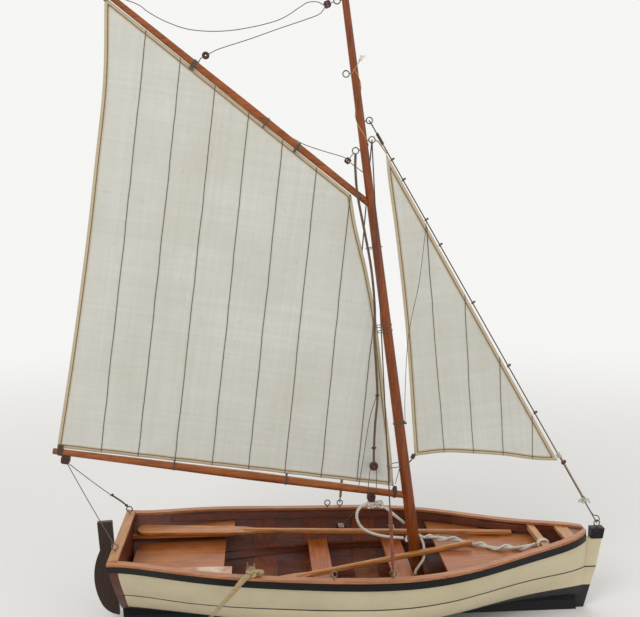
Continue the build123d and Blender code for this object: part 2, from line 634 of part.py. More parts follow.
start, end, wide = TANGLE
tangle = rod(start, end, wide)
nodes["boom_tangle"] = fillet(tangle.edges(), wide * 0.4)
nodes["boom_cord_long"] = tube("boom_cord_long", BOOM_CORD_LONG, CORD_DIA) - nodes["boom_tangle"]
nodes["boom_cord_short"] = tube("boom_cord_short", BOOM_CORD_SHORT, CORD_DIA) - nodes["boom_tangle"]

hemp_knot = Pos(*HEMP_KNOT) * Sphere(HEMP_KNOT_DIA / 2) - nodes["gunwale_cap_starboard"]
nodes["hemp_knot"] = hemp_knot
nodes["hemp_rope"] = tube("hemp_rope", HEMP_ROPE, HEMP_DIA) - hemp_knot

os.makedirs("parts", exist_ok=True)
for name, shape in nodes.items():
    export_step(shape, "parts/" + name + ".step")
    box = shape.bounding_box()
    print(name, len(shape.solids()), round(shape.volume, 1), [round(v, 1) for v in (*box.min, *box.max)])
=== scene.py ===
# %% [markdown]
# # A gaff-rigged sailing dinghy, as a wooden display model
# The solid pieces (hull, spars, oars, eyes) come from the CAD frame and keep their shape here.
# This file gives them their finish, and makes the cloth sails, the ropes, the threads and the knots.
# Everything is in metres, X to the bow, Y to port, Z up, with the keel's bottom at zero.

# %% Load the fixed frame
import math
import bpy
import numpy as np
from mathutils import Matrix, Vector


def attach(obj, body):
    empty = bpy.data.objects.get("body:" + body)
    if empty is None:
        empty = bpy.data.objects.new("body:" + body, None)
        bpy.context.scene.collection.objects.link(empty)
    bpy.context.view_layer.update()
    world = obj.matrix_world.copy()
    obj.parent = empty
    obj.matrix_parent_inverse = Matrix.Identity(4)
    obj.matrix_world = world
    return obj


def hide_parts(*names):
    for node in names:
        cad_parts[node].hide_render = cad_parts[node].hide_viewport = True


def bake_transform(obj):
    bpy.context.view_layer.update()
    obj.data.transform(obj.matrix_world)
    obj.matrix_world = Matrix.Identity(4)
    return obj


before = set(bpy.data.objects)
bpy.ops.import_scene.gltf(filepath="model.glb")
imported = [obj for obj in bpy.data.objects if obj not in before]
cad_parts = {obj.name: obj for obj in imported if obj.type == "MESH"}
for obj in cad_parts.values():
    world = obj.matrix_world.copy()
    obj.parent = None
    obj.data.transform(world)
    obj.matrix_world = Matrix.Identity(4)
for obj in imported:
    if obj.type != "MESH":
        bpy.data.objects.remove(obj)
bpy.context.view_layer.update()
MM = 0.001
HULL, RIG, JIB = "hull", "mainsail_rig", "jib_sail"

# %% [markdown]
# ## Camera, floor and light
# The photograph was taken from the starboard side, 0.82 m off and 0.45 m up, with a moderate lens.
# The floor is a pale sheet. Far from the boat it turns into plain white, so that no horizon shows.
# A low white world and three soft lamps keep colours close to how they are written.

# %% Camera
IMAGE_SIZE = (640, 617)
FOCAL_PIXELS = 850.0
SENSOR = 36.0
CAMERA_AT = (-0.1059, -0.8202, 0.4471)
CAMERA_TILT, CAMERA_TURN = 8.73, 4.13
camera_data = bpy.data.cameras.new("photo_camera")
camera_data.sensor_width = SENSOR
camera_data.lens = FOCAL_PIXELS / IMAGE_SIZE[0] * SENSOR
camera = bpy.data.objects.new("photo_camera", camera_data)
camera.location = CAMERA_AT
camera.rotation_euler = (math.radians(90 - CAMERA_TILT), 0, math.radians(-CAMERA_TURN))
bpy.context.scene.collection.objects.link(camera)
bpy.context.scene.camera = camera
bpy.context.scene.view_settings.view_transform = "Standard"
print("lens", round(camera_data.lens, 1), "mm")

# %% Small helpers for meshes and shader nodes


def unit(vectors):
    """Each vector divided by its own length."""
    return vectors / np.maximum(np.linalg.norm(vectors, axis=-1, keepdims=True), 1e-12)


def grid_faces(rows, columns, close_rows=False, close_columns=False):
    """Four-cornered faces of a grid: corner (i, j) is vertex i * columns + j; a closed side wraps round."""
    i = np.arange(rows if close_rows else rows - 1)[:, None]
    j = np.arange(columns if close_columns else columns - 1)[None, :]
    i_next, j_next = (i + 1) % rows, (j + 1) % columns
    corners = (i * columns + j, i * columns + j_next, i_next * columns + j_next, i_next * columns + j)
    return np.stack([np.broadcast_to(c, (i.size, j.size)) for c in corners], axis=-1).reshape(-1, 4)


def new_piece(name, vertices, faces, material, maps=None):
    """A smooth mesh object made from arrays; maps holds each UV map's values for the vertices, by name."""
    mesh = bpy.data.meshes.new(name)
    mesh.from_pydata(np.asarray(vertices, float).reshape(-1, 3).tolist(), [],
                     [list(map(int, f)) for f in faces])
    corner_vertex = np.empty(len(mesh.loops), np.int32)
    mesh.loops.foreach_get("vertex_index", corner_vertex)
    for map_name, values in (maps or {}).items():
        layer = mesh.uv_layers.new(name=map_name)
        layer.data.foreach_set("uv", np.asarray(values, np.float32).reshape(-1, 2)[corner_vertex].ravel())
    mesh.polygons.foreach_set("use_smooth", np.ones(len(mesh.polygons), bool))
    mesh.validate()
    piece = bpy.data.objects.new(name, mesh)
    bpy.context.scene.collection.objects.link(piece)
    piece.data.materials.append(material)
    return piece


def node(tree, kind, **values):
    """Add a shader node; a value is set on the input of that name, or else as a setting of the node."""
    made = tree.nodes.new("ShaderNode" + kind)
    for key, value in values.items():
        if key in made.inputs:
            made.inputs[key].default_value = value
        else:
            setattr(made, key, value)
    return made


def join(tree, *pairs):
    """Link each pair of an output and an input."""
    for output, target in pairs:
        tree.links.new(output, target)


def arithmetic(tree, operation, *values, clamp=False):
    """A Math node whose inputs are numbers or outputs; gives its output."""
    made = node(tree, "Math", operation=operation, use_clamp=clamp)
    for socket, value in zip(made.inputs, values):
        if isinstance(value, (int, float)):
            socket.default_value = value
        else:
            tree.links.new(value, socket)
    return made.outputs[0]


def times(tree, first, second):
    """First times second."""
    return arithmetic(tree, "MULTIPLY", first, second)


def plus(tree, first, second, clamp=False):
    """First plus second, held between zero and one if clamped."""
    return arithmetic(tree, "ADD", first, second, clamp=clamp)


def less(tree, first, second):
    """First less second."""
    return arithmetic(tree, "SUBTRACT", first, second)


def apart(tree, first, second):
    """How far first and second are apart."""
    return arithmetic(tree, "ABSOLUTE", less(tree, first, second))


def blend_colours(tree, factor, first, second):
    """Mix two colours, each a triple or an output, by a factor."""
    made = node(tree, "Mix", data_type="RGBA")
    for socket, value in ((made.inputs[0], factor), (made.inputs[6], first), (made.inputs[7], second)):
        if isinstance(value, tuple):
            socket.default_value = (*value, 1.0)
        elif isinstance(value, (int, float)):
            socket.default_value = value
        else:
            tree.links.new(value, socket)
    return made.outputs[2]


def tint(tree, base, mask, share, colour):
    """Lay a colour over a base by a share of a mask."""
    return blend_colours(tree, times(tree, mask, share), base, colour)


def steps(tree, value, low, high):
    """Zero below low, one above high, and a soft step between."""
    made = node(tree, "MapRange", interpolation_type="SMOOTHSTEP")
    for index, number in ((1, low), (2, high), (3, 0.0), (4, 1.0)):
        made.inputs[index].default_value = number
    tree.links.new(value, made.inputs[0])
    return made.outputs[0]


def below(tree, value, low, high):
    """One below low, zero above high, and a soft step between."""
    return less(tree, 1.0, steps(tree, value, low, high))


def split(tree, vector):
    """The three parts of a vector, as outputs."""
    parts = node(tree, "SeparateXYZ")
    join(tree, (vector, parts.inputs[0]))
    return parts.outputs


def srgb(red, green, blue):
    """A colour written as screen values from 0 to 255, in the linear values that shaders take."""
    part = np.array([red, green, blue]) / 255
    return tuple(float(c) for c in np.where(part <= 0.04045, part / 12.92, ((part + 0.055) / 1.055) ** 2.4))


print("helpers ready")

# %% Floor, world and lamps
FLOOR_HALF = 12.0
FLOOR_COLOUR = (0.80, 0.79, 0.77)
BACKGROUND = (0.92, 0.915, 0.90)
FADE_START, FADE_END = 0.55, 1.6
corners = np.array([(-1, -1, 0), (1, -1, 0), (1, 1, 0), (-1, 1, 0)], float) * FLOOR_HALF


def pale_floor():
    """A matt floor that turns into the plain background colour with distance, in its own coordinates."""
    material = bpy.data.materials.new("pale_floor")
    material.use_nodes = True
    tree = material.node_tree
    tree.nodes.clear()
    place = node(tree, "TexCoord")
    distance = node(tree, "VectorMath", operation="LENGTH")
    join(tree, (place.outputs["Object"], distance.inputs[0]))
    share = steps(tree, distance.outputs["Value"], FADE_START, FADE_END)
    matt = node(tree, "BsdfDiffuse", Color=(*FLOOR_COLOUR, 1))
    plain = node(tree, "Emission", Color=(*BACKGROUND, 1), Strength=1.0)
    mix = node(tree, "MixShader")
    output = node(tree, "OutputMaterial")
    join(tree, (share, mix.inputs[0]), (matt.outputs[0], mix.inputs[1]),
         (plain.outputs[0], mix.inputs[2]), (mix.outputs[0], output.inputs[0]))
    return material


floor = new_piece("floor", corners, [(0, 1, 2, 3)], pale_floor())

world = bpy.data.worlds.new("studio")
bpy.context.scene.world = world
world.use_nodes = True
tree = world.node_tree
tree.nodes.clear()
seen = node(tree, "LightPath")
around = arithmetic(tree, "MAXIMUM", seen.outputs["Is Camera Ray"], seen.outputs["Is Glossy Ray"])
around = arithmetic(tree, "MAXIMUM", around, seen.outputs["Is Transmission Ray"])
soft_light = node(tree, "Background", Color=(1, 1, 1, 1), Strength=0.62)
shown = node(tree, "Background", Color=(*BACKGROUND, 1), Strength=1.0)
pick = node(tree, "MixShader")
ending = node(tree, "OutputWorld")
join(tree, (around, pick.inputs[0]), (soft_light.outputs[0], pick.inputs[1]),
     (shown.outputs[0], pick.inputs[2]), (pick.outputs[0], ending.inputs[0]))


def lamp(name, spot, aim, size, power):
    """A square area lamp at spot that faces aim."""
    data = bpy.data.lights.new(name, "AREA")
    data.size = size
    data.energy = power
    made = bpy.data.objects.new(name, data)
    made.location = spot
    made.rotation_mode = "QUATERNION"
    made.rotation_quaternion = (Vector(aim) - Vector(spot)).to_track_quat("-Z", "Y")
    bpy.context.scene.collection.objects.link(made)
    return made


lamp("key", (-1.1, -1.3, 1.7), (0, 0, 0.2), 1.1, 17)
lamp("fill", (1.5, -1.1, 0.9), (0, 0, 0.2), 1.4, 6)
lamp("back", (0.2, 1.6, 1.5), (0, 0, 0.25), 1.4, 10)
print("floor, world and three lamps")

# %% [markdown]
# ## Effects that several finishes share
# Wood grain, dust, woven cloth and twisted fibre show on many pieces. Each material could hold its own nodes
# for them, but then a change would have to be made many times, so each effect is one shader group.
# A group gives only masks and heights, and the shader itself stays in each material.

# %% Shader groups


def group(name, inputs, outputs):
    """A new shader group with its sockets; gives the tree, its input node and its output node."""
    tree = bpy.data.node_groups.new(name, "ShaderNodeTree")
    for socket, kind, value in inputs:
        made = tree.interface.new_socket(socket, in_out="INPUT", socket_type="NodeSocket" + kind)
        if value is not None:
            made.default_value = value
    for socket, kind in outputs:
        tree.interface.new_socket(socket, in_out="OUTPUT", socket_type="NodeSocket" + kind)
    return tree, tree.nodes.new("NodeGroupInput"), tree.nodes.new("NodeGroupOutput")


def wood_grain_group():
    """Grain is bands cut from slow, bent noise, plus finer noise; pores are short dashes of quick noise."""
    tree, given, out = group("wood_grain", [("Vector", "Vector", None), ("Fineness", "Float", 30.0)],
                             [("Grain", "Float"), ("Pores", "Float"), ("Height", "Float")])
    wide = node(tree, "TexNoise", Detail=4.0, Roughness=0.6, Distortion=1.2)
    fine = node(tree, "TexNoise", Detail=6.0, Roughness=0.7, Distortion=0.4)
    dash = node(tree, "TexNoise", Detail=1.0, Roughness=0.5)
    fineness = given.outputs["Fineness"]
    for texture, scale in ((wide, fineness), (fine, times(tree, fineness, 4.0)),
                           (dash, times(tree, fineness, 9.0))):
        join(tree, (given.outputs["Vector"], texture.inputs["Vector"]), (scale, texture.inputs["Scale"]))
    figure = arithmetic(tree, "FRACT", times(tree, wide.outputs[0], 7.0))
    grain = plus(tree, apart(tree, figure, 0.5), times(tree, fine.outputs[0], 0.55), clamp=True)
    pores = steps(tree, dash.outputs[0], 0.60, 0.70)
    join(tree, (grain, out.inputs["Grain"]), (pores, out.inputs["Pores"]),
         (less(tree, grain, pores), out.inputs["Height"]))
    return tree


def patches_group():
    """Large soft patches and small specks, for dust, scuffs and uneven colour."""
    tree, given, out = group("patches", [("Vector", "Vector", None), ("Size", "Float", 40.0)],
                             [("Soft", "Float"), ("Specks", "Float")])
    soft = node(tree, "TexNoise", Detail=5.0, Roughness=0.65)
    speck = node(tree, "TexNoise", Detail=2.0, Roughness=0.5)
    size = given.outputs["Size"]
    for texture, scale in ((soft, size), (speck, times(tree, size, 14.0))):
        join(tree, (given.outputs["Vector"], texture.inputs["Vector"]), (scale, texture.inputs["Scale"]))
    join(tree, (steps(tree, soft.outputs[0], 0.35, 0.75), out.inputs["Soft"]),
         (steps(tree, speck.outputs[0], 0.64, 0.74), out.inputs["Specks"]))
    return tree


def weave_group():
    """Plain weave: height is the mean of warp and weft waves, shade is streaks along both threads."""
    tree, given, out = group("plain_weave", [("Vector", "Vector", None), ("Threads", "Float", 1500.0)],
                             [("Height", "Float"), ("Shade", "Float")])
    place = split(tree, given.outputs["Vector"])
    waves = []
    for way in (place[0], place[1]):
        turn = times(tree, times(tree, way, given.outputs["Threads"]), 2 * math.pi)
        waves.append(times(tree, arithmetic(tree, "SINE", turn), 0.5))
    shades = []
    for stretch in ((3.0, 260.0, 1.0), (260.0, 3.0, 1.0)):
        turned = node(tree, "Mapping", Scale=stretch)
        slub = node(tree, "TexNoise", Scale=1.0, Detail=3.0, Roughness=0.6)
        join(tree, (given.outputs["Vector"], turned.inputs["Vector"]),
             (turned.outputs[0], slub.inputs["Vector"]))
        shades.append(slub.outputs[0])
    shade = times(tree, plus(tree, *shades), 0.5)
    join(tree, (plus(tree, *waves), out.inputs["Height"]), (shade, out.inputs["Shade"]))
    return tree


def fibre_group():
    """Fibres along a cord: noise stretched along the cord's own map."""
    tree, given, out = group("fibres", [("Vector", "Vector", None), ("Along", "Float", 60.0),
                                        ("Round", "Float", 9.0)], [("Fibre", "Float")])
    size = node(tree, "CombineXYZ")
    scaled = node(tree, "VectorMath", operation="MULTIPLY")
    noise = node(tree, "TexNoise", Scale=1.0, Detail=4.0, Roughness=0.7)
    join(tree, (given.outputs["Along"], size.inputs[0]), (given.outputs["Round"], size.inputs[1]),
         (given.outputs["Vector"], scaled.inputs[0]), (size.outputs[0], scaled.inputs[1]),
         (scaled.outputs[0], noise.inputs["Vector"]), (noise.outputs[0], out.inputs["Fibre"]))
    return tree


GRAIN, PATCHES, WEAVE, FIBRES = wood_grain_group(), patches_group(), weave_group(), fibre_group()
print("four shader groups")


def place_group(tree, which, vector, **values):
    """Put a shader group into a material, read at a vector, with this material's own values."""
    made = tree.nodes.new("ShaderNodeGroup")
    made.node_tree = which
    join(tree, (vector, made.inputs["Vector"]))
    for key, value in values.items():
        made.inputs[key].default_value = value
    return made


def start_material(name, **values):
    """A material with one Principled shader; gives the material, its tree and the shader."""
    material = bpy.data.materials.new(name)
    material.use_nodes = True
    tree = material.node_tree
    tree.nodes.clear()
    shader = node(tree, "BsdfPrincipled", **values)
    join(tree, (shader.outputs[0], node(tree, "OutputMaterial").inputs[0]))
    return material, tree, shader


def add_bump(tree, shader, height, depth, strength=1.0):
    """Feed a height into the shader's normal; depth is the real height of a full step, in metres."""
    bump = node(tree, "Bump", Strength=strength, Distance=depth)
    join(tree, (height, bump.inputs["Height"]), (bump.outputs[0], shader.inputs["Normal"]))


def uneven_gloss(tree, shader, patch, rough, more):
    """Roughness that rises by up to more where the soft patches lie."""
    join(tree, (plus(tree, rough, times(tree, patch.outputs["Soft"], more)), shader.inputs["Roughness"]))


# %% [markdown]
# ## Varnished and painted wood
# The model is stained wood under thin varnish: pale rails, orange-brown seats and oars, red-brown spars
# and a dark red-brown inside. A picture of wood would repeat and would need a map on every piece.
# Noise in the piece's own coordinates needs none, and runs through the wood as real grain does.
# Grain runs along each piece, so the noise is stretched along one axis.

# %% Wood finishes
# Pale colour for upward faces of varnished wood: dust, and a painted highlight on the tops.
PALE_DUST_AND_HIGHLIGHT = (0.434, 0.262, 0.138)


def stretched(tree, along, share=0.09):
    """Object coordinates, scaled to a share along axis 0, 1 or 2, so that noise runs long that way."""
    place = node(tree, "TexCoord")
    scale = [1.0, 1.0, 1.0]
    scale[along] = share
    turned = node(tree, "Mapping", Scale=scale)
    join(tree, (place.outputs["Object"], turned.inputs["Vector"]))
    return turned.outputs[0], place


def varnished(name, dark, light, along, fineness=55.0, rough=0.36, pale_share=0.25, dust_and_highlight_colour=PALE_DUST_AND_HIGHLIGHT):
    """Stained wood, dark to light by grain, darker pores, pale dust and painted highlight on top faces."""
    material, tree, shader = start_material(name, Roughness=rough)
    shader.inputs["Coat Weight"].default_value = 0.10
    shader.inputs["Specular IOR Level"].default_value = 0.32
    shader.inputs["Coat Roughness"].default_value = 0.28
    vector, place = stretched(tree, along)
    grain = place_group(tree, GRAIN, vector, Fineness=fineness)
    patch = place_group(tree, PATCHES, place.outputs["Object"], Size=28.0)
    tone = plus(tree, times(tree, grain.outputs["Grain"], 0.75), times(tree, patch.outputs["Soft"], 0.25),
                clamp=True)
    colour = blend_colours(tree, tone, dark, light)
    colour = tint(tree, colour, grain.outputs["Pores"], 0.35, tuple(c * 0.45 for c in dark))
    # Upward faces paler in soft patches: dust, and a painted highlight of light falling on the tops.
    upward = steps(tree, split(tree, place.outputs["Normal"])[2], 0.55, 0.95)
    colour = tint(tree, colour, times(tree, upward, patch.outputs["Soft"]), pale_share, dust_and_highlight_colour)
    join(tree, (colour, shader.inputs["Base Color"]))
    uneven_gloss(tree, shader, patch, rough, 0.18)
    add_bump(tree, shader, grain.outputs["Height"], 0.00010, 0.6)
    return material


DARK_RED, MID_RED = srgb(60, 22, 8), srgb(112, 50, 20)
inside_x = varnished("inside_wood_fore_and_aft", DARK_RED, MID_RED, 0)
inside_z = varnished("inside_wood_upright", DARK_RED, srgb(138, 66, 28), 2)
inside_y = varnished("inside_wood_across", DARK_RED, srgb(106, 46, 20), 1)
spar_mast = varnished("mast_wood", srgb(84, 36, 8), srgb(150, 76, 24), 2, rough=0.30, pale_share=0.0)
spar_long = varnished("boom_and_gaff_wood", srgb(96, 44, 10), srgb(172, 96, 38), 0, rough=0.26, pale_share=0.2)
orange_x = varnished("platform_wood", srgb(122, 62, 22), srgb(186, 110, 50), 0, rough=0.40, pale_share=0.22)
# The near bench is near white on its upward faces: partly wear, partly a painted highlight.
worn_highlit_x = varnished("worn_highlit_bench_wood", srgb(132, 72, 34), srgb(190, 118, 62), 0, rough=0.5, pale_share=1.0,
                   dust_and_highlight_colour=srgb(222, 206, 188))
orange_y = varnished("seat_wood", srgb(120, 58, 18), srgb(190, 104, 38), 1, rough=0.38, pale_share=0.10)
oar_wood = varnished("oar_wood", srgb(134, 76, 30), srgb(200, 132, 68), 0, rough=0.42, pale_share=0.2)
pale_x = varnished("rail_wood", srgb(138, 78, 40), srgb(198, 134, 86), 0, rough=0.40, pale_share=0.2)
pale_y = varnished("transom_rail_wood", srgb(150, 96, 56), srgb(208, 154, 104), 1, rough=0.42, pale_share=0.25)
rudder_wood = varnished("rudder_wood", srgb(30, 19, 13), srgb(62, 38, 26), 2, rough=0.45, pale_share=0.2)
small_wood = varnished("block_wood", srgb(44, 24, 17), srgb(84, 46, 32), 1, fineness=160.0, rough=0.5,
                       pale_share=0.3)
print("wood finishes ready")

# %% [markdown]
# ## Paint
# The keel and the rubbing strakes are brushed black. The hull is cream over a black bottom, with a thin
# line above it. The bands could be separate pieces, but real ones are only paint, so the height of a
# point gives its colour.

# %% Painted wood


def painted(name, colour, rough, pale_share, scuffed):
    """Brush paint over wood: faint brush lines, soft grey dust, and specks where the paint is rubbed."""
    material, tree, shader = start_material(name, Roughness=rough)
    shader.inputs["Specular IOR Level"].default_value = 0.22
    vector, place = stretched(tree, 0, 0.05)
    brush = node(tree, "TexNoise", Scale=420.0, Detail=3.0)
    join(tree, (vector, brush.inputs["Vector"]))
    patch = place_group(tree, PATCHES, place.outputs["Object"], Size=34.0)
    shade = tint(tree, colour, patch.outputs["Soft"], pale_share, tuple(0.6 * c + 0.035 for c in colour))
    shade = tint(tree, shade, patch.outputs["Specks"], scuffed, srgb(120, 96, 74))
    join(tree, (shade, shader.inputs["Base Color"]))
    uneven_gloss(tree, shader, patch, rough, 0.2)
    add_bump(tree, shader, brush.outputs[0], 0.00006, 0.5)
    return material


black_paint = painted("black_paint", srgb(11, 10, 13), 0.34, 0.06, 0.06)
worn_black = painted("worn_black_paint", srgb(20, 19, 20), 0.40, 0.30, 0.75)

WATERLINE, STRIPE = 25 * MM, 45 * MM
STRIPE_HALF, PAINT_EDGE, BRUSH_WANDER = 0.75 * MM, 0.25 * MM, 0.35 * MM
CREAM, BOTTOM_BLACK, STRIPE_BROWN = srgb(206, 193, 160), srgb(15, 14, 15), srgb(44, 26, 18)


def bands(tree, cream, height):
    """Cream with its thin line above the waterline, and black below it."""
    line = apart(tree, height, STRIPE)
    cream = blend_colours(tree, below(tree, line, STRIPE_HALF - PAINT_EDGE, STRIPE_HALF + PAINT_EDGE),
                          cream, STRIPE_BROWN)
    return blend_colours(tree, steps(tree, height, WATERLINE - PAINT_EDGE, WATERLINE + PAINT_EDGE),
                         BOTTOM_BLACK, cream)


def hull_finish():
    """One finish for the skin: outside it is cream over black with a thin line, inside it is stained wood.

    The surface normal tells the side: outside, its Y times the sign of Y, less its Z, is above zero.
    Height, moved a little by the patches, then gives the waterline and the thin line."""
    material, tree, shader = start_material("hull_skin", Roughness=0.4)
    vector, place = stretched(tree, 0)
    spot, facing = split(tree, place.outputs["Object"]), split(tree, place.outputs["Normal"])
    outward = times(tree, facing[1], arithmetic(tree, "SIGN", spot[1]))
    outside = steps(tree, less(tree, outward, facing[2]), -0.02, 0.02)
    grain = place_group(tree, GRAIN, vector, Fineness=48.0)
    patch = place_group(tree, PATCHES, place.outputs["Object"], Size=22.0)
    wood = blend_colours(tree, grain.outputs["Grain"], DARK_RED, MID_RED)
    wood = tint(tree, wood, grain.outputs["Pores"], 0.35, srgb(34, 12, 8))
    height = plus(tree, spot[2], times(tree, less(tree, patch.outputs["Soft"], 0.5), BRUSH_WANDER))
    cream = tint(tree, CREAM, patch.outputs["Soft"], 0.35, srgb(182, 166, 132))
    cream = tint(tree, cream, patch.outputs["Specks"], 0.18, srgb(120, 100, 76))
    join(tree, (blend_colours(tree, outside, wood, bands(tree, cream, height)), shader.inputs["Base Color"]))
    uneven_gloss(tree, shader, patch, 0.36, 0.2)
    add_bump(tree, shader, grain.outputs["Height"], 0.00007, 0.5)
    return material


def stem_finish():
    """The stem is painted like the hull beside it: cream with the thin line, black below the waterline."""
    material, tree, shader = start_material("stem_paint", Roughness=0.42)
    vector, place = stretched(tree, 2)
    patch = place_group(tree, PATCHES, place.outputs["Object"], Size=30.0)
    cream = tint(tree, CREAM, patch.outputs["Soft"], 0.4, srgb(178, 162, 130))
    join(tree, (bands(tree, cream, split(tree, place.outputs["Object"])[2]), shader.inputs["Base Color"]))
    brush = node(tree, "TexNoise", Scale=300.0, Detail=3.0)
    join(tree, (vector, brush.inputs["Vector"]))
    add_bump(tree, shader, brush.outputs[0], 0.00006, 0.5)
    return material


print("paint ready")

# %% [markdown]
# ## Wire, brass and fibre
# The eyes are dull wire, the rudder's fittings are brass, and the lines are cotton, hemp and dark thread.
# A cord's fibres run with its strands, so its colour is read from the map that its own surface carries.

# %% Wire, brass and fibre finishes


def wire_finish(name, dark, light, rough):
    """Dull metal with brown tarnish patches."""
    material, tree, shader = start_material(name, Metallic=0.9, Roughness=rough)
    place = node(tree, "TexCoord")
    patch = place_group(tree, PATCHES, place.outputs["Object"], Size=160.0)
    join(tree, (blend_colours(tree, patch.outputs["Soft"], light, dark), shader.inputs["Base Color"]))
    uneven_gloss(tree, shader, patch, rough, 0.25)
    add_bump(tree, shader, patch.outputs["Specks"], 0.00004, 0.6)
    return material


def cord_finish(name, dark, light, along):
    """Twisted fibre: colour and bump follow the strand's own map, which is metres along and turns round."""
    material, tree, shader = start_material(name, Roughness=0.85)
    shader.inputs["Sheen Weight"].default_value = 0.3
    shader.inputs["Sheen Roughness"].default_value = 0.5
    strand = node(tree, "UVMap", uv_map="strand")
    place = node(tree, "TexCoord")
    fibre = place_group(tree, FIBRES, strand.outputs[0], Along=along, Round=7.0).outputs["Fibre"]
    patch = place_group(tree, PATCHES, place.outputs["Object"], Size=90.0)
    tone = plus(tree, times(tree, fibre, 0.8), times(tree, patch.outputs["Soft"], 0.3), clamp=True)
    join(tree, (blend_colours(tree, tone, dark, light), shader.inputs["Base Color"]))
    add_bump(tree, shader, fibre, 0.00015, 0.9)
    return material


wire = wire_finish("eye_wire", srgb(58, 50, 42), srgb(132, 126, 116), 0.42)
brass = wire_finish("dull_brass", srgb(92, 70, 34), srgb(172, 140, 78), 0.38)
white_cotton = cord_finish("white_cotton", srgb(160, 152, 138), srgb(236, 230, 216), 700.0)
tan_hemp = cord_finish("tan_hemp", srgb(122, 98, 60), srgb(206, 180, 132), 500.0)
dark_line = cord_finish("dark_line", srgb(30, 20, 15), srgb(92, 66, 48), 900.0)
dark_thread = cord_finish("dark_thread", srgb(44, 40, 36), srgb(104, 94, 82), 900.0)
white_thread = cord_finish("white_thread", srgb(176, 168, 154), srgb(240, 236, 226), 900.0)
tan_thread = cord_finish("tan_thread", srgb(128, 92, 44), srgb(214, 172, 98), 900.0)
print("wire, brass and fibre finishes ready")

# %% Give every solid piece its finish
FINISHES = {
    "hull_planking": hull_finish(), "stem": stem_finish(), "transom": inside_y, "stem_head": worn_black,
    "keel": black_paint, "gunwale_cap_port": pale_x, "gunwale_cap_starboard": pale_x,
    "rubbing_strake_port": black_paint, "rubbing_strake_starboard": black_paint,
    "inwale_port": inside_x, "inwale_starboard": inside_x, "transom_cap": pale_y, "ribs": inside_z,
    "thwart_risers": inside_x, "middle_thwart": orange_y, "mast_thwart": orange_y,
    "fore_platform": orange_x, "stern_platform": orange_x, "side_bench_port": orange_x,
    "side_bench_starboard": worn_highlit_x, "bow_bar": pale_y, "breasthook": pale_y, "mast": spar_mast,
    "mast_step": inside_x, "boom": spar_long, "gaff": spar_long, "mast_eyes": wire, "stem_eye": wire,
    "gunwale_eyes": wire, "transom_eyes": wire, "cleats": small_wood, "boom_blocks": small_wood,
    "mast_blocks": small_wood, "oar_port": oar_wood, "oar_starboard": oar_wood, "rudder": rudder_wood,
    "gudgeons": brass, "pintles": brass,
}
for name, material in FINISHES.items():
    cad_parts[name].data.materials.clear()
    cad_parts[name].data.materials.append(material)
print(len(FINISHES), "solid pieces finished")

# %% [markdown]
# ## The sails
# A real sail is cut from panels of cloth, sewn edge to edge, with a hem turned over all round.
# It could be simulated as cloth, but a set sail hardly moves, and its outline is what the eye checks.
# So each sail is a patch stretched between four edge lines, thickened by its own cloth, thicker at the hem.
# The weave, the seams and the stitched hem line follow the cloth's own maps.

# %% Cloth finish
HEM_WIDE = 5.6 * MM
HEM_LINE = 3.1 * MM
STITCH_HALF = 0.75 * MM
HEM_EXTRA, HEM_STEP = 0.20 * MM, 0.3 * MM
SEAM_HALF, SEAM_WANDER = 0.010, 0.07      # shares of a panel's width


def sail_finish(name):
    """Off-white cloth with tan hems. One map is metres over cloth, one is panel number and edge distance.

    A seam lies where the panel number, moved a little by noise, is near a whole number above zero."""
    material, tree, shader = start_material(name, Roughness=0.88)
    shader.inputs["Sheen Weight"].default_value = 0.25
    shader.inputs["Sheen Roughness"].default_value = 0.6
    cloth, panel = node(tree, "UVMap", uv_map="cloth"), node(tree, "UVMap", uv_map="panel")
    weave = place_group(tree, WEAVE, cloth.outputs[0], Threads=1250.0)
    place = node(tree, "TexCoord")
    patch = place_group(tree, PATCHES, place.outputs["Object"], Size=9.0)
    number, edge = split(tree, panel.outputs[0])[:2]
    colour = blend_colours(tree, weave.outputs["Shade"], srgb(188, 187, 177), srgb(224, 223, 215))
    colour = tint(tree, colour, patch.outputs["Soft"], 0.55, srgb(190, 186, 168))
    colour = tint(tree, colour, patch.outputs["Specks"], 0.10, srgb(150, 128, 96))
    hem = blend_colours(tree, weave.outputs["Shade"], srgb(170, 154, 122), srgb(206, 192, 162))
    colour = blend_colours(tree, below(tree, edge, HEM_LINE + STITCH_HALF, HEM_WIDE), colour, hem)
    bends = node(tree, "TexNoise", Scale=22.0, Detail=4.0)
    join(tree, (place.outputs["Object"], bends.inputs["Vector"]))
    moved = plus(tree, number, times(tree, less(tree, bends.outputs[0], 0.5), SEAM_WANDER))
    off_seam = apart(tree, moved, arithmetic(tree, "ROUND", moved))
    off_seam = plus(tree, off_seam, below(tree, number, 0.4, 0.6))
    colour = tint(tree, colour, below(tree, off_seam, 0.04, 0.06), 0.16, srgb(176, 168, 146))
    colour = tint(tree, colour, below(tree, off_seam, SEAM_HALF, 2 * SEAM_HALF), 0.86, srgb(72, 68, 60))
    on_stitch = below(tree, apart(tree, edge, HEM_LINE), 0.4 * STITCH_HALF, STITCH_HALF)
    join(tree, (tint(tree, colour, on_stitch, 0.85, srgb(92, 68, 42)), shader.inputs["Base Color"]))
    creases = node(tree, "TexNoise", Scale=26.0, Detail=5.0, Roughness=0.62, Distortion=0.6)
    join(tree, (place.outputs["Object"], creases.inputs["Vector"]))
    height = plus(tree, times(tree, weave.outputs["Height"], 0.12), times(tree, creases.outputs[0], 2.2))
    add_bump(tree, shader, height, 0.0009, 0.75)
    return material


sail_cloth = sail_finish("sail_cloth")
print("sail cloth ready")

# %% Edge lines and patches


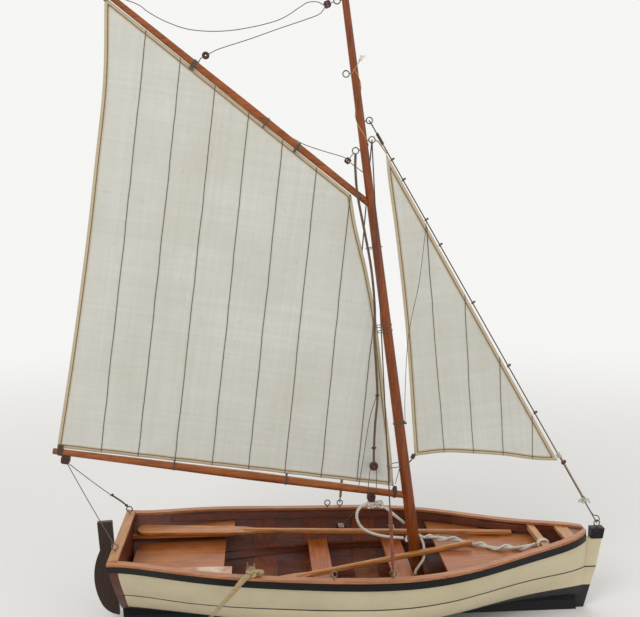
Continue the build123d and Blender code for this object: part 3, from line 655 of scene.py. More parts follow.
def spread(points, count):
    """Points evenly spaced along the straight runs between the given ones."""
    points = np.asarray(points, float)
    run = np.concatenate([[0], np.cumsum(np.linalg.norm(np.diff(points, axis=0), axis=1))])
    wanted = np.linspace(0, run[-1], count)
    return np.stack([np.interp(wanted, run, points[:, axis]) for axis in range(points.shape[1])], axis=1)


def softened(points, count):
    """A curve through the points: each cubic run leaves a point along the line between its neighbours."""
    points = np.asarray(points, float)
    padded = np.vstack([2 * points[0] - points[1], points, 2 * points[-1] - points[-2]])
    t = np.linspace(0, len(points) - 1 - 1e-9, count * 6)
    i = t.astype(int)
    f = (t - i)[:, None]
    p0, p1, p2, p3 = padded[i], padded[i + 1], padded[i + 2], padded[i + 3]
    bend, twist = 2 * p0 - 5 * p1 + 4 * p2 - p3, 3 * p1 - p0 - 3 * p2 + p3
    return spread(0.5 * (2 * p1 + (p2 - p0) * f + bend * f ** 2 + twist * f ** 3), count)


def patch_between(bottom, top, left, right):
    """Coons patch: the two ruled surfaces between opposite edges added, less the one through the corners."""
    u = np.linspace(0, 1, len(bottom))[None, :, None]
    v = np.linspace(0, 1, len(left))[:, None, None]
    ruled_up = (1 - v) * bottom[None] + v * top[None]
    ruled_over = (1 - u) * left[:, None] + u * right[:, None]
    low_corners = (1 - u) * bottom[0] + u * bottom[-1]
    high_corners = (1 - u) * top[0] + u * top[-1]
    return ruled_up + ruled_over - (1 - v) * low_corners - v * high_corners


def edge_distance(points, outline):
    """Distance from each point to the nearest run of a closed outline."""
    start, way = outline, np.roll(outline, -1, axis=0) - outline
    size = np.maximum((way ** 2).sum(1), 1e-12)
    best = np.full(len(points), np.inf)
    for begin, step, square in zip(start, way, size):
        share = np.clip(((points - begin) @ step) / square, 0, 1)
        best = np.minimum(best, np.linalg.norm(points - begin - share[:, None] * step, axis=1))
    return best


def sewn_sail(name, edges, panels, belly, thick, body, node_name):
    """A closed sheet of cloth between four edges in the middle plane, thicker at its hem.

    Its Y is belly(x, z, edge), plus or minus half of thick, and HEM_EXTRA more inside the hem.
    panels is the lower aft corner, pitch, lean and fan of the seams, in millimetres."""
    flat = patch_between(*edges) * MM
    rows, columns = flat.shape[:2]
    x, z = flat[..., 0].ravel(), flat[..., 1].ravel()
    outline = np.vstack([edges[0], edges[3], edges[1][::-1], edges[2][::-1]]) * MM
    edge = edge_distance(np.stack([x, z], 1), outline)
    number = panel_number(x, z, panels)
    half = thick / 2 + HEM_EXTRA * np.clip((HEM_WIDE + HEM_STEP - edge) / (0.5 * MM), 0, 1)
    side = belly(x, z, edge)
    lean = math.atan(panels[3])
    cloth = np.stack([x * math.cos(lean) - z * math.sin(lean), x * math.sin(lean) + z * math.cos(lean)], 1)
    near = np.stack([x, side - half, z], 1)
    far = np.stack([x, side + half, z], 1)
    front = grid_faces(rows, columns)
    back = front[:, ::-1] + len(x)
    index = np.arange(rows * columns).reshape(rows, columns)
    rim = np.concatenate([index[0, :-1], index[:-1, -1], index[-1, :0:-1], index[:0:-1, 0]])
    after = np.roll(rim, -1)
    wall = np.stack([after, rim, rim + len(x), after + len(x)], 1)
    maps = {"cloth": np.vstack([cloth, cloth]), "panel": np.tile(np.stack([number, edge], 1), (2, 1))}
    sail = new_piece(name, np.vstack([near, far]), np.vstack([front, back, wall]), sail_cloth, maps)
    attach(sail, body)
    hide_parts(node_name)


def panel_number(x, z, panels):
    """Which seam a point is on: its place across, counted in panels that lean and fan with height."""
    base_x, base_z, pitch, lean, fan = [np.array(v) for v in panels]
    up = z / MM - base_z
    return (x / MM - base_x - lean * up) / (pitch + fan * up)


print("sail helpers ready")

# %% Mainsail
MAIN_PEAK, MAIN_THROAT = (-243.4, 610.2), (-16.6, 431.0)
MAIN_CLEW, MAIN_TACK = (-305.3, 185.6), (28.4, 137.4)
MAIN_PANELS = (-302.3, 165.0, 36.9, 0.148, -0.007)
MAIN_LEECH = (MAIN_CLEW, (-286.9, 283.0), (-270.5, 379.5), (-257.9, 463.7), (-247.7, 536.6), MAIN_PEAK)
MAIN_LUFF = (MAIN_TACK, (25.0, 175.4), (18.6, 227.4), (9.6, 303.7), (0.4, 353.4), (-5.6, 377.9),
             (-11.6, 402.2), MAIN_THROAT)
FOOT_TIES = np.array([-305.3, -268.0, -230.0, -192.3, -155.0, -118.0, -81.1, -45.0, -9.0, 28.4])
FOOT_SAG, FOOT_NORMAL = 0.3, (0.14, 0.99)
MAIN_BELLY, MAIN_WIDE = 5.0 * MM, 330.0
CLOTH_THICK = 0.5 * MM
FOOT_RISE, HEAD_RISE, LUFF_RISE, HEAD_LOW = 0.1445, 0.815, 1 / 0.149, 430.6


def laced_edge(ties, start, end, sag, normal):
    """An edge that touches the spar at its ties and draws away between them by sag, as arcs."""
    x = np.linspace(ties[0], ties[-1], 160)
    share = (x - start[0]) / (end[0] - start[0])
    line = np.array(start)[None] + share[:, None] * (np.array(end) - np.array(start))[None]
    arc = sag * np.abs(np.sin(np.pi * np.interp(x, ties, np.arange(len(ties)))))
    return line + arc[:, None] * np.array(normal)[None]


def main_belly(x, z, edge):
    """Belly of the mainsail: nothing at the spars and most at two fifths from the mast, with soft folds."""
    x, z = x / MM, z / MM
    aft = MAIN_TACK[0] - x
    across = np.clip(aft / MAIN_WIDE, 0, 1)
    foot = MAIN_TACK[1] + aft * FOOT_RISE
    from_throat = MAIN_THROAT[0] - x
    head = np.minimum(HEAD_LOW + from_throat * HEAD_RISE, HEAD_LOW + from_throat * LUFF_RISE)
    up = np.clip((z - foot) / np.maximum(head - foot, 1), 0, 1)
    fold = 0.9 * np.sin(x * 0.045 + z * 0.012) * np.sin(z * 0.021 - x * 0.008)
    free = np.clip(edge / (30 * MM), 0, 1)
    return MAIN_BELLY * np.sin(np.pi * up) * np.sin(np.pi * across ** 0.8) + fold * free * MM


SAIL_ROWS, SAIL_COLUMNS = 190, 150
main_foot = softened(laced_edge(FOOT_TIES, MAIN_CLEW, MAIN_TACK, FOOT_SAG, FOOT_NORMAL), SAIL_COLUMNS)
main_head = softened(spread((MAIN_PEAK, MAIN_THROAT), 12), SAIL_COLUMNS)
main_edges = (main_foot, main_head, softened(MAIN_LEECH, SAIL_ROWS), softened(MAIN_LUFF, SAIL_ROWS))
sewn_sail("mainsail_cloth", main_edges, MAIN_PANELS, main_belly, CLOTH_THICK, RIG, "mainsail")

# %% Jib
JIB_HEAD, JIB_TACK, JIB_CLEW = (16.6, 470.4), (198.0, 160.2), (49.6, 168.8)
JIB_HEAD_WIDE, JIB_LEECH_LEAN, JIB_LUFF_LEAN = 3.0, 0.114, 0.5848
JIB_BELLY, JIB_LOW, JIB_TALL = 4.0 * MM, 164.0, 306.0
JIB_PANELS = (49.8, 169.0, 30.4, -0.114, 0.015)
JIB_TIE_HEIGHTS = (464.2, 445.2, 406.7, 382.3, 324.7, 260.2, 211.0)
jib_top = (JIB_HEAD, (JIB_HEAD[0] + JIB_HEAD_WIDE * 0.6, JIB_HEAD[1] - JIB_HEAD_WIDE * 0.9))
JIB_LEECH = (JIB_CLEW, (45.6, 216.6), (38.2, 303.4), (27.6, 389.4), (19.2, 445.2), JIB_HEAD)
JIB_FOOT = (JIB_CLEW, (80.5, 171.4), (109.5, 169.6), (142.8, 166.6), (174.4, 161.6), JIB_TACK)


def jib_belly(x, z, edge):
    """Belly of the jib: nothing at its three edges, most in its lower middle."""
    x, z = x / MM, z / MM
    leech_x = JIB_CLEW[0] - (z - JIB_CLEW[1]) * JIB_LEECH_LEAN
    luff_x = JIB_TACK[0] - (z - JIB_TACK[1]) * JIB_LUFF_LEAN
    across = np.clip((x - leech_x) / np.maximum(luff_x - leech_x, 2), 0, 1)
    up = np.clip((z - JIB_LOW) / JIB_TALL, 0, 1)
    fold = 0.8 * np.sin(x * 0.05 - z * 0.018) * np.clip(edge / (25 * MM), 0, 1)
    return JIB_BELLY * np.sin(np.pi * across ** 0.9) * np.sin(np.pi * up ** 0.7) + fold * MM


JIB_ROWS, JIB_COLUMNS = 170, 110
jib_edges = (softened(JIB_FOOT, JIB_COLUMNS), spread(jib_top, JIB_COLUMNS),
             softened(JIB_LEECH, JIB_ROWS), spread((JIB_TACK, jib_top[1]), JIB_ROWS))
sewn_sail("jib_cloth", jib_edges, JIB_PANELS, jib_belly, CLOTH_THICK, JIB, "jib")

# %% [markdown]
# ## Rope surfaces
# Laid rope is equal strands that touch and turn together about one line.
# Each strand could be a tube of its own, but its hidden inner half would only cost faces. The outline of the
# rope at any place is the outer side of its round strands, so one closed surface makes the whole rope.
# Each rope is a line of points and a surface computed round it. Thin threads are plain round ones.

# %% Lines
ROUTE_STEPS = 24
UP = np.array([0.0, 0.0, 1.0])
SIDE = np.array([0.0, 1.0, 0.0])
MAST_RAKE, MAST_LEAN, MAST_FOOT = math.radians(7.83), 0.1375, (54.3, 48.0)
MAST_LINE = np.array([-math.sin(MAST_RAKE), 0.0, math.cos(MAST_RAKE)])
TURN_POINTS = 26


def route(points):
    """Metres along a smooth curve of order three, read from a curve object with the given control points."""
    data = bpy.data.curves.new("route", "CURVE")
    data.dimensions, data.resolution_u = "3D", ROUTE_STEPS
    spline = data.splines.new("NURBS")
    spline.points.add(len(points) - 1)
    spline.points.foreach_set("co", np.hstack([points, np.ones((len(points), 1))]).ravel())
    spline.order_u = 3
    spline.use_endpoint_u = True
    holder = bpy.data.objects.new("route", data)
    mesh = bpy.data.meshes.new_from_object(holder)
    line = np.empty(len(mesh.vertices) * 3)
    mesh.vertices.foreach_get("co", line)
    bpy.data.objects.remove(holder)
    bpy.data.meshes.remove(mesh)
    return line.reshape(-1, 3)


def turns(start, end, wide, deep, count, phase=0.0, shift=0.0):
    """Metres along a thread wound count times round the run from start to end.

    Its turns are ellipses: wide times cos on Y and deep times sin across, about a middle moved by shift."""
    start, end = np.asarray(start, float), np.asarray(end, float)
    share = np.linspace(0, 1, max(int(abs(count) * TURN_POINTS), 8))[:, None]
    over = unit(np.cross(unit(end - start), SIDE))
    angle = 2 * np.pi * (count * share + phase)
    middle = start + share * (end - start) + shift * over
    return (middle + wide * np.cos(angle) * SIDE + deep * np.sin(angle) * over) * MM


def mast_at(z):
    """A point on the mast's middle line: it goes aft by MAST_LEAN for each millimetre up from its foot."""
    return np.array([MAST_FOOT[0] - MAST_LEAN * (z - MAST_FOOT[1]), 0.0, z])


def drawn(points, count):
    """Metres along a smooth curve through points given in millimetres."""
    return softened(points, count) * MM


def knot_line(middle, size, across=UP, count=60):
    """An overhand knot drawn tight, with a sixth of size for each unit of these sums.

    On a plane it is sin t + 2 sin 2t and cos t - 2 cos 2t, and along across it is -1.3 sin 3t."""
    t = np.linspace(0, 2 * np.pi, count)[:, None]
    across = unit(np.asarray(across, float))
    first = unit(np.cross(across, SIDE) + 0.3 * SIDE)
    second = np.cross(across, first)
    line = (np.sin(t) + 2 * np.sin(2 * t)) * first + (np.cos(t) - 2 * np.cos(2 * t)) * second
    line = line - 1.3 * np.sin(3 * t) * across
    return (np.asarray(middle, float) + line * size / 6) * MM


print("line helpers ready")

# %% Rope surface
STRAND_SIDES, THREAD_SIDES, GROOVE_FLOOR = 8, 10, 0.66


def rope_surface(line, radius, strands=0, pitch=4.0, aside=SIDE):
    """Vertices, quads, end caps and map of one closed rope round a line; radius and pitch in millimetres.

    A strand's radius is s / (1 + s) of the rope's, where s is the sine of half the angle between strands.
    With its middle b from the line and a its radius, the outline at angle p from it is b cos p plus the
    root of a squared less (b sin p) squared, and never less than GROOVE_FLOOR."""
    along = np.concatenate([[0], np.cumsum(np.linalg.norm(np.diff(line, axis=0), axis=1))])
    tangent = unit(np.gradient(line, axis=0))
    first = unit(aside - (tangent @ aside)[:, None] * tangent)
    second = np.cross(tangent, first)
    rows, columns = len(line), strands * STRAND_SIDES if strands else THREAD_SIDES
    angle = np.linspace(0, 2 * np.pi, columns, endpoint=False)
    profile = np.ones(columns)
    if strands:
        half = np.pi / strands
        small = math.sin(half) / (1 + math.sin(half))
        off = (angle / half / 2 % 1 - 0.5) * 2 * half
        root = np.sqrt(np.maximum(small ** 2 - ((1 - small) * np.sin(off)) ** 2, 0))
        profile = np.maximum((1 - small) * np.cos(off) + root, GROOVE_FLOOR)
    lay = (along / (pitch * MM))[:, None]
    turned = angle[None, :] + (2 * np.pi * lay if strands else 0 * lay)
    thick = radius * MM * profile[None, :]
    shell = (line[:, None] + (thick * np.cos(turned))[..., None] * first[:, None]
             + (thick * np.sin(turned))[..., None] * second[:, None])
    map_round = angle[None, :] / (2 * np.pi) - (0 * lay if strands else lay)
    strand = np.stack([np.broadcast_to(along[:, None], (rows, columns)), map_round], -1)
    ring = np.arange(columns)
    caps = (ring[::-1], ring + (rows - 1) * columns)
    return shell.reshape(-1, 3), grid_faces(rows, columns, close_columns=True), caps, strand.reshape(-1, 2)


def rope(name, lines, radius, material, body, part_slot, **look):
    """One piece of rope or thread along each of the lines.

    body is the name it is attached to; given two names and a run, none of them is used."""
    points, quads, caps, maps, count = [], [], [], [], 0
    for line in lines:
        shell, faces, ends, strand = rope_surface(line, radius, **look)
        points.append(shell)
        quads.append(faces + count)
        caps += [end + count for end in ends]
        maps.append(strand)
        count += len(shell)
    faces = [*np.vstack(quads), *caps]
    piece = new_piece(name, np.vstack(points), faces, material, {"strand": np.vstack(maps)})
    if isinstance(body, str):
        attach(piece, body)
    else:
        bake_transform(piece)
    return piece


def even(line, step):
    """The same line with a point at each step, in millimetres."""
    size = np.linalg.norm(np.diff(line, axis=0), axis=1).sum()
    return spread(line, max(int(size / (step * MM)), 4))


print("rope surface ready")

# %% [markdown]
# ## Loose cords
# The white cord lies from the mast over the fore platform to the bow bar, with a thinner one wound round it.
# Two ends hang from the knotted bunch under the boom, and a piece of hemp hangs over the near side.
# A simulation would lay them somewhere else each time, so each one follows listed points.

# %% Declared cords
PAINTER = np.array([
    (0.0595, 0.0, 0.0812), (0.0700, 0.0035, 0.0796), (0.0830, 0.0085, 0.0760), (0.0960, 0.0105, 0.0723),
    (0.1080, 0.0080, 0.0705), (0.1200, 0.0005, 0.0704), (0.1320, -0.0075, 0.0704), (0.1450, -0.0080, 0.0704),
    (0.1560, -0.0093, 0.0710), (0.1650, -0.0119, 0.0734), (0.1738, -0.0140, 0.0760)])
BOOM_CORD_LONG = np.array([
    (0.0064, 0.0, 0.1194), (-0.0015, -0.0004, 0.1190), (-0.0068, -0.0008, 0.1153),
    (-0.0096, -0.0012, 0.1094), (-0.0090, -0.0012, 0.1024), (-0.0058, -0.0010, 0.0956),
    (0.0, -0.0006, 0.0901), (0.0100, 0.0002, 0.0855), (0.0231, 0.0008, 0.0822), (0.0394, 0.0, 0.0810)])
BOOM_CORD_SHORT = np.array([
    (0.0140, 0.0, 0.1190), (0.0212, -0.0008, 0.1140), (0.0280, -0.0004, 0.1076), (0.0350, 0.0014, 0.1010),
    (0.0409, 0.0046, 0.0952)])
HEMP_ROPE = np.array([
    (-0.1196, -0.0872, 0.0888), (-0.1256, -0.0912, 0.0850), (-0.1318, -0.0926, 0.0770),
    (-0.1380, -0.0906, 0.0680), (-0.1450, -0.0870, 0.0588), (-0.1520, -0.0836, 0.0490)])
CORD_RADIUS, HEMP_RADIUS, FINE_STEP = 1.7, 2.1, 0.7
COTTON = {"material": white_cotton, "part_slot": "white_cord"}
HEMP = {"material": tan_hemp, "part_slot": "hemp"}
painter_line, long_line, short_line, hemp_line = [
    route(points) for points in (PAINTER, BOOM_CORD_LONG, BOOM_CORD_SHORT, HEMP_ROPE)]
painter = rope("painter_rope", [even(painter_line, FINE_STEP)], CORD_RADIUS, body=HULL, **COTTON,
               strands=3, pitch=8.5, aside=UP)
long_cord = rope("boom_cord_long_rope", [even(long_line, FINE_STEP)], CORD_RADIUS, body=RIG, **COTTON,
                 strands=3, pitch=8.5)
short_cord = rope("boom_cord_short_rope", [even(short_line, FINE_STEP)], CORD_RADIUS, body=RIG, **COTTON,
                  strands=3, pitch=8.5)
hemp = rope("hemp_rope_piece", [even(hemp_line, FINE_STEP)], HEMP_RADIUS, body=HULL, **HEMP, strands=3,
            pitch=9.5)
for piece, name in ((painter, "painter"), (long_cord, "boom_cord_long"), (short_cord, "boom_cord_short"),
                    (hemp, "hemp_rope")):
    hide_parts(name)
print("four cords laid")

# %% A thin cord wound round the long one
# It goes round the painter's line 4.3 times, 2.4 mm off it, and stays above the platform.
PLATFORM_TOP, THIN_RADIUS = 68.0 * MM, 1.55
WOUND_TURNS, WOUND_OFF = 4.3, 2.4 * MM
wound = even(painter_line, 1.2)
share = np.linspace(0, 1, len(wound))[:, None]
way = unit(np.gradient(wound, axis=0))
level = unit(np.cross(way, UP))
upward = np.cross(level, way)
swing = 2 * np.pi * WOUND_TURNS * share + 0.5 * np.sin(11 * share)
reach = WOUND_OFF * np.clip(np.minimum(share, 1 - share) * 12, 0.5, 1)
wound = wound + reach * (np.cos(swing) * level + np.sin(swing) * upward)
wound[:, 2] = np.maximum(wound[:, 2], PLATFORM_TOP + (THIN_RADIUS + 0.1) * MM)
second_cord = rope("painter_second", [even(wound, FINE_STEP)], THIN_RADIUS, body=HULL, **COTTON,
                   strands=2, pitch=5.0, aside=UP)
print("second cord wound")

# %% Loose fibres that stand off the two cords
random = np.random.default_rng(3)
fuzz = []
for place in random.integers(8, len(painter_line) - 8, 60):
    start = painter_line[place] / MM
    reach = random.normal(0, 1, 3) * (1.6, 1.6, 1.0) + (0, 0, 1.2)
    reach = reach / np.linalg.norm(reach) * random.uniform(2.6, 4.2)
    near = start + 0.7 * reach + random.normal(0, 0.4, 3)
    fibre = drawn([start, near, start + reach + random.normal(0, 0.8, 3)], 7)
    fuzz.append(np.maximum(fibre, (-1, -1, PLATFORM_TOP + 0.2 * MM)))
fibres = rope("painter_fibres", fuzz, 0.10, body=HULL, **COTTON)
print(len(fuzz), "fibres")

# %% [markdown]
# ## Knots
# The hitch, the bunch under the boom and the hemp's knot are tied by hand and pulled tight.
# A modelled lump would look like wax. Lines that cross themselves, made into rope, show real turns.

# %% Knots at the cords' ends
MAST_AT_HITCH = np.array([49.76, 0.0, 81.0])
behind = turns(MAST_AT_HITCH - 1.2 * MAST_LINE, MAST_AT_HITCH + 1.0 * MAST_LINE, 7.6, 7.6, -0.62, 0.31)
loose_end = drawn([(57.2, -2.4, 81.5), (59.2, -5.0, 76.0), (59.6, -7.0, 70.0), (58.6, -9.5, 62.0),
                   (54.0, -11.0, 55.5), (50.6, -12.0, 50.8), (49.6, -12.5, 47.0)], 60)
hitch = rope("mast_hitch_turn", [even(behind, FINE_STEP), loose_end,
                                 knot_line((58.0, 0.4, 81.6), 4.6, SIDE)], 1.5,
             body=HULL, **COTTON, strands=3, pitch=8.0, aside=MAST_LINE)
# The cord goes 2.2 times round the bow bar, on an ellipse 5.3 by 4.3 mm about its middle.
BAR_MIDDLE = (181.5, -14.0, 76.7)
t = np.linspace(0, 1, 80)[:, None]
swing = 2 * np.pi * 2.2 * t + 2.6
bar_turns = (np.array(BAR_MIDDLE) + np.hstack([5.3 * np.cos(swing), 4.0 * t - 2.0,
                                               4.3 * np.sin(swing)])) * MM
bar_hitch = rope("painter_knot_turns", [bar_turns], 1.45, body=HULL, **COTTON, strands=3, pitch=7.0)
# The bunch is four closed loops that are out of step with each other:
# 7.6 sin t fore and aft, 2.6 sin 3t across and 2.7 cos 2t up.
TANGLE_MIDDLE = np.array([10.0, 0.0, 118.05])
t = np.linspace(0, 2 * np.pi, 220)[:, None]
bunch = [(TANGLE_MIDDLE + np.hstack([7.6 * np.sin(t + a), 2.6 * np.sin(3 * t + b),
                                     2.7 * np.cos(2 * t + a + b)])) * MM
         for a, b in ((0.0, 0.4), (1.3, 1.9), (2.4, 3.6), (3.5, 5.2))]
tangle = rope("boom_tangle_loops", bunch, 1.0, body=RIG, **COTTON, strands=2, pitch=4.5)
print("cotton knots tied")

# %% The hemp's knot, doubled end and frayed fibres
HEMP_MIDDLE = np.array([-115.0, -83.5, 89.0])
HEMP_LOOP = [(-117.0, -85.0, 90.5), (-112.0, -86.0, 91.4), (-107.4, -85.0, 90.6), (-106.0, -82.6, 88.4),
             (-109.0, -81.6, 86.6), (-114.0, -82.4, 86.4), (-118.6, -85.4, 87.6)]
doubled = hemp_line[:int(0.56 * len(hemp_line))]
hemp_double = doubled + np.linspace(1, 0, len(doubled))[:, None] ** 0.5 * (2.4 * MM, 0.4 * MM, -0.4 * MM)
HEMP_FACING = np.array([0.4, -0.5, 0.7])
hemp_turns = [knot_line(HEMP_MIDDLE + (-0.6, 0, 0.4), 7.4, HEMP_FACING, 90), drawn(HEMP_LOOP, 60),
              even(hemp_double, FINE_STEP)]
hemp_knot = rope("hemp_knot_turns", hemp_turns, 2.0, body=HULL, **HEMP, strands=3, pitch=8.0,
                 aside=HEMP_FACING)
for piece, name in ((hitch, "mast_hitch"), (bar_hitch, "painter_knot"), (tangle, "boom_tangle"),
                    (hemp_knot, "hemp_knot")):
    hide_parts(name)
TUFT_COUNT, END_COUNT = 26, 14
random = np.random.default_rng(7)
hairs = []
for _ in range(TUFT_COUNT):
    start = HEMP_MIDDLE + random.normal(0, 1.6, 3)
    rise = np.array([random.normal(0, 0.45), random.normal(-0.1, 0.35), 1.0]) * random.uniform(4.5, 9.5)
    hairs.append(drawn([start, start + 0.5 * rise + random.normal(0, 0.7, 3), start + rise], 8))
for _ in range(END_COUNT):
    rise = np.array([random.normal(-4.0, 1.6), random.normal(-0.4, 0.6), random.normal(-6.0, 1.2)])
    start = HEMP_ROPE[-1] / MM + random.normal(0, 0.9, 3)
    hairs.append(drawn([start, start + 0.5 * rise + random.normal(0, 0.5, 3), start + rise], 8))
frayed = rope("hemp_fibres", hairs, 0.16, body=HULL, **HEMP)
print("knots tied,", len(hairs), "loose fibres")

# %% [markdown]
# ## Standing rigging
# Two shrouds and the forestay are dark braided line, each with a loop through its rings.
# A tan strand runs beside the lower forestay between two white knots.
# Coloured thread binds the shrouds' feet.

# %% Shrouds and forestay
STAYS = (
    # name, top end, foot end, middles of the rings at the top and foot
    ("shroud_port", (2.79, 0.80, 479.5), (-17.81, 87.8, 89.5), (2.98, 0.0, 483.15), (-18.0, 88.6, 85.9)),
    ("shroud_starboard", (3.09, -0.78, 479.5), (14.89, -85.7, 88.9), (2.98, 0.0, 483.15),
     (15.0, -86.5, 85.3)),
    ("forestay", (2.3, 0.0, 497.95), (241.1, 0.0, 94.5), (0.0, 0.0, 501.14), (243.0, 0.0, 91.34)),
)
LOOP_WIDE = 1.1


def eye_loop(end, ring):
    """A narrow closed loop from a stay's end through a ring."""
    end, ring = np.array(end), np.array(ring)
    t = np.linspace(0, 2 * np.pi, 30)[:, None]
    tail = end + 0.6 * (end - ring)
    return ((tail + ring) / 2 + (ring - tail) / 2 * np.cos(t) + LOOP_WIDE * SIDE * np.sin(t)) * MM


for name, top, foot, high_ring, low_ring in STAYS:
    stay = rope(name + "_line", [even(np.array([top, foot]) * MM, 0.8)], 0.8, dark_line, HULL, "rigging",
                strands=2, pitch=3.4)
    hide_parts(name)
    rope(name + "_loops", [eye_loop(top, high_ring), eye_loop(foot, low_ring)], 0.45, dark_line, HULL,
         "rigging")
print(len(STAYS), "stays laid")

# %% Bindings, splices and hooks on the stays


def between(low, high, share):
    """The point at a share of the way from one point to another."""
    return np.array(low) + share * (np.array(high) - np.array(low))


braided_line = cord_finish("braided_line", srgb(26, 17, 12), srgb(132, 104, 76), 900.0)
red_thread = cord_finish("red_thread", srgb(88, 34, 22), srgb(158, 84, 52), 900.0)
stay_top, stay_foot = STAYS[2][1], STAYS[2][2]
LASHINGS = (
    # name, foot and head as shares of the stay from its foot, stay, radius, material
    ("shroud_port_binding", 0.010, 0.066, STAYS[0], 1.7, tan_thread),
    ("shroud_starboard_binding", 0.010, 0.135, STAYS[1], 1.9, red_thread),
)
for name, low, high, stay_row, radius, material in LASHINGS:
    run = [between(stay_row[2], stay_row[1], low) * MM, between(stay_row[2], stay_row[1], high) * MM]
    rope(name, [even(np.array(run), 0.8)], radius, material, HULL, "rigging", strands=3, pitch=9.0)
splice = turns(between(stay_foot, stay_top, 0.952), between(stay_foot, stay_top, 0.978), 1.2, 1.2, 11)
rope("forestay_splice", [splice], 0.42, dark_line, HULL, "rigging")
strand = [between(stay_foot, stay_top, share) + (0.9, -1.3 - 0.5 * math.sin(40 * share), 0.6)
          for share in (0.06, 0.10, 0.14, 0.178)]
rope("forestay_tan_strand", [drawn(strand, 60)], 0.7, tan_thread, HULL, "hemp", strands=2, pitch=3.5)
knots = [knot_line(between(stay_foot, stay_top, 0.176), 5.4, (0.5, 0.6, 0.6)),
         knot_line(between(stay_foot, stay_top, 0.055), 6.4, (0.4, 0.8, 0.3))]
bow_knot = between(stay_foot, stay_top, 0.055)
ENDS = (((0, 0, 0), (-3.5, -2.0, 2.6), (-6.5, -2.6, -0.4), (-2.0, -1.4, -1.0)),
        ((0, 0, 0), (3.4, -2.2, 1.6), (5.4, -2.8, -2.4)))
knots += [drawn(bow_knot + np.array(end), count) for end, count in zip(ENDS, (24, 18))]
rope("forestay_white_knots", knots, 1.05, body=HULL, **COTTON, strands=2, pitch=4.0)
hook = [(231.6, 0.4, 110.6), (233.8, 1.1, 107.4), (236.6, 1.3, 103.0), (239.6, 1.2, 99.6),
        (243.6, 1.0, 98.6), (245.8, 0.4, 96.0), (244.6, 0.0, 93.2), (242.0, 0.0, 93.4)]
rope("stem_hook", [drawn(hook, 60)], 0.55, wire, HULL, "wire")
print("stays bound")

# %% [markdown]
# ## Running rigging
# Threads hold the sails to their spars, and halyards run from the gaff to blocks at the mast.
# A thread from a swinging spar to the hull can ride neither of them without coming off the other.
# So it is attached to neither of them, and stays where it is laid.

# %% Spars' lines
SPARS = {
    # name: X and Z of the fore end, reach aft, rise for each millimetre aft, radii at the shares in WIDEST
    "boom": (43.4, 127.0, 352.7, 0.1566, (3.5, 4.5, 3.0)),
    "gaff": (3.0, 420.7, 249.9, 0.7869, (3.2, 3.75, 2.75)),
}
WIDEST, THREAD_OFF = (0, 0.4, 1), 0.35


def spar_at(name, x):
    """A point on a spar's middle line, the way aft along it, and the spar's radius there."""
    fore_x, fore_z, reach, rise, radii = SPARS[name]
    radius = float(np.interp((fore_x - x) / reach, WIDEST, radii))
    return np.array([x, 0.0, fore_z + (fore_x - x) * rise]), unit(np.array([-1.0, 0.0, rise])), radius


def stay_at(z):
    """A point on the forestay."""
    return between(stay_foot, stay_top, (z - stay_foot[2]) / (stay_top[2] - stay_foot[2]))


STAY_WAY = unit(np.array(stay_top) - np.array(stay_foot))


def tie(spar, x, count, length, past):
    """Turns of thread round a spar and the cloth's edge, past millimetres beyond the spar's own surface."""
    middle, way, radius = spar_at(spar, x)
    half, lift, off = way * length / 2, abs(past) / 2, radius + THREAD_OFF
    return turns(middle - half, middle + half, off, off + lift, count, 0.2, math.copysign(lift, past))


print("spars' lines ready")

# %% Ties of the sails
boom_ties = [tie("boom", x, 2, 1.6, -2.6) for x in FOOT_TIES[[3, 6]]]
gaff_ties = [tie("gaff", x, count, length, 2.2) for x, count, length in
             ((-163.5, 5, 4.5), (-97.0, 2, 1.6), (-68.0, 3, 2.4))]
rope("sail_ties", boom_ties + gaff_ties, 0.38, dark_thread, RIG, "rigging")
lashing = [tie("boom", -302.5, 5, 5.0, -4.0), tie("gaff", -241.0, 4, 4.0, 3.0),
           tie("boom", 29.0, 3, 3.0, -3.5)]
rope("corner_lashings", lashing, 0.6, dark_line, RIG, "rigging")
jib_ties = [turns(stay_at(z) - 0.8 * STAY_WAY, stay_at(z) + 0.8 * STAY_WAY, 1.25, 2.1, 2, 0.1, -0.9)
            for z in JIB_TIE_HEIGHTS]
rope("jib_ties", jib_ties, 0.34, dark_thread, JIB, "rigging")
MAST_TIES = ((303.0, 9.0, 5.2), (297.5, 7.5, 5.2), (380.0, 8.0, 5.0), (160.0, 11.5, 5.9))
mast_ties = []
for z, deep, wide in MAST_TIES:
    middle = mast_at(z)
    mast_ties.append(turns(middle, middle + 1.0 * MAST_LINE, wide, deep, 1, 0.3, deep - 5.3))
rope("luff_lacing", mast_ties, 0.4, dark_thread, RIG, "rigging")
print("sails tied")

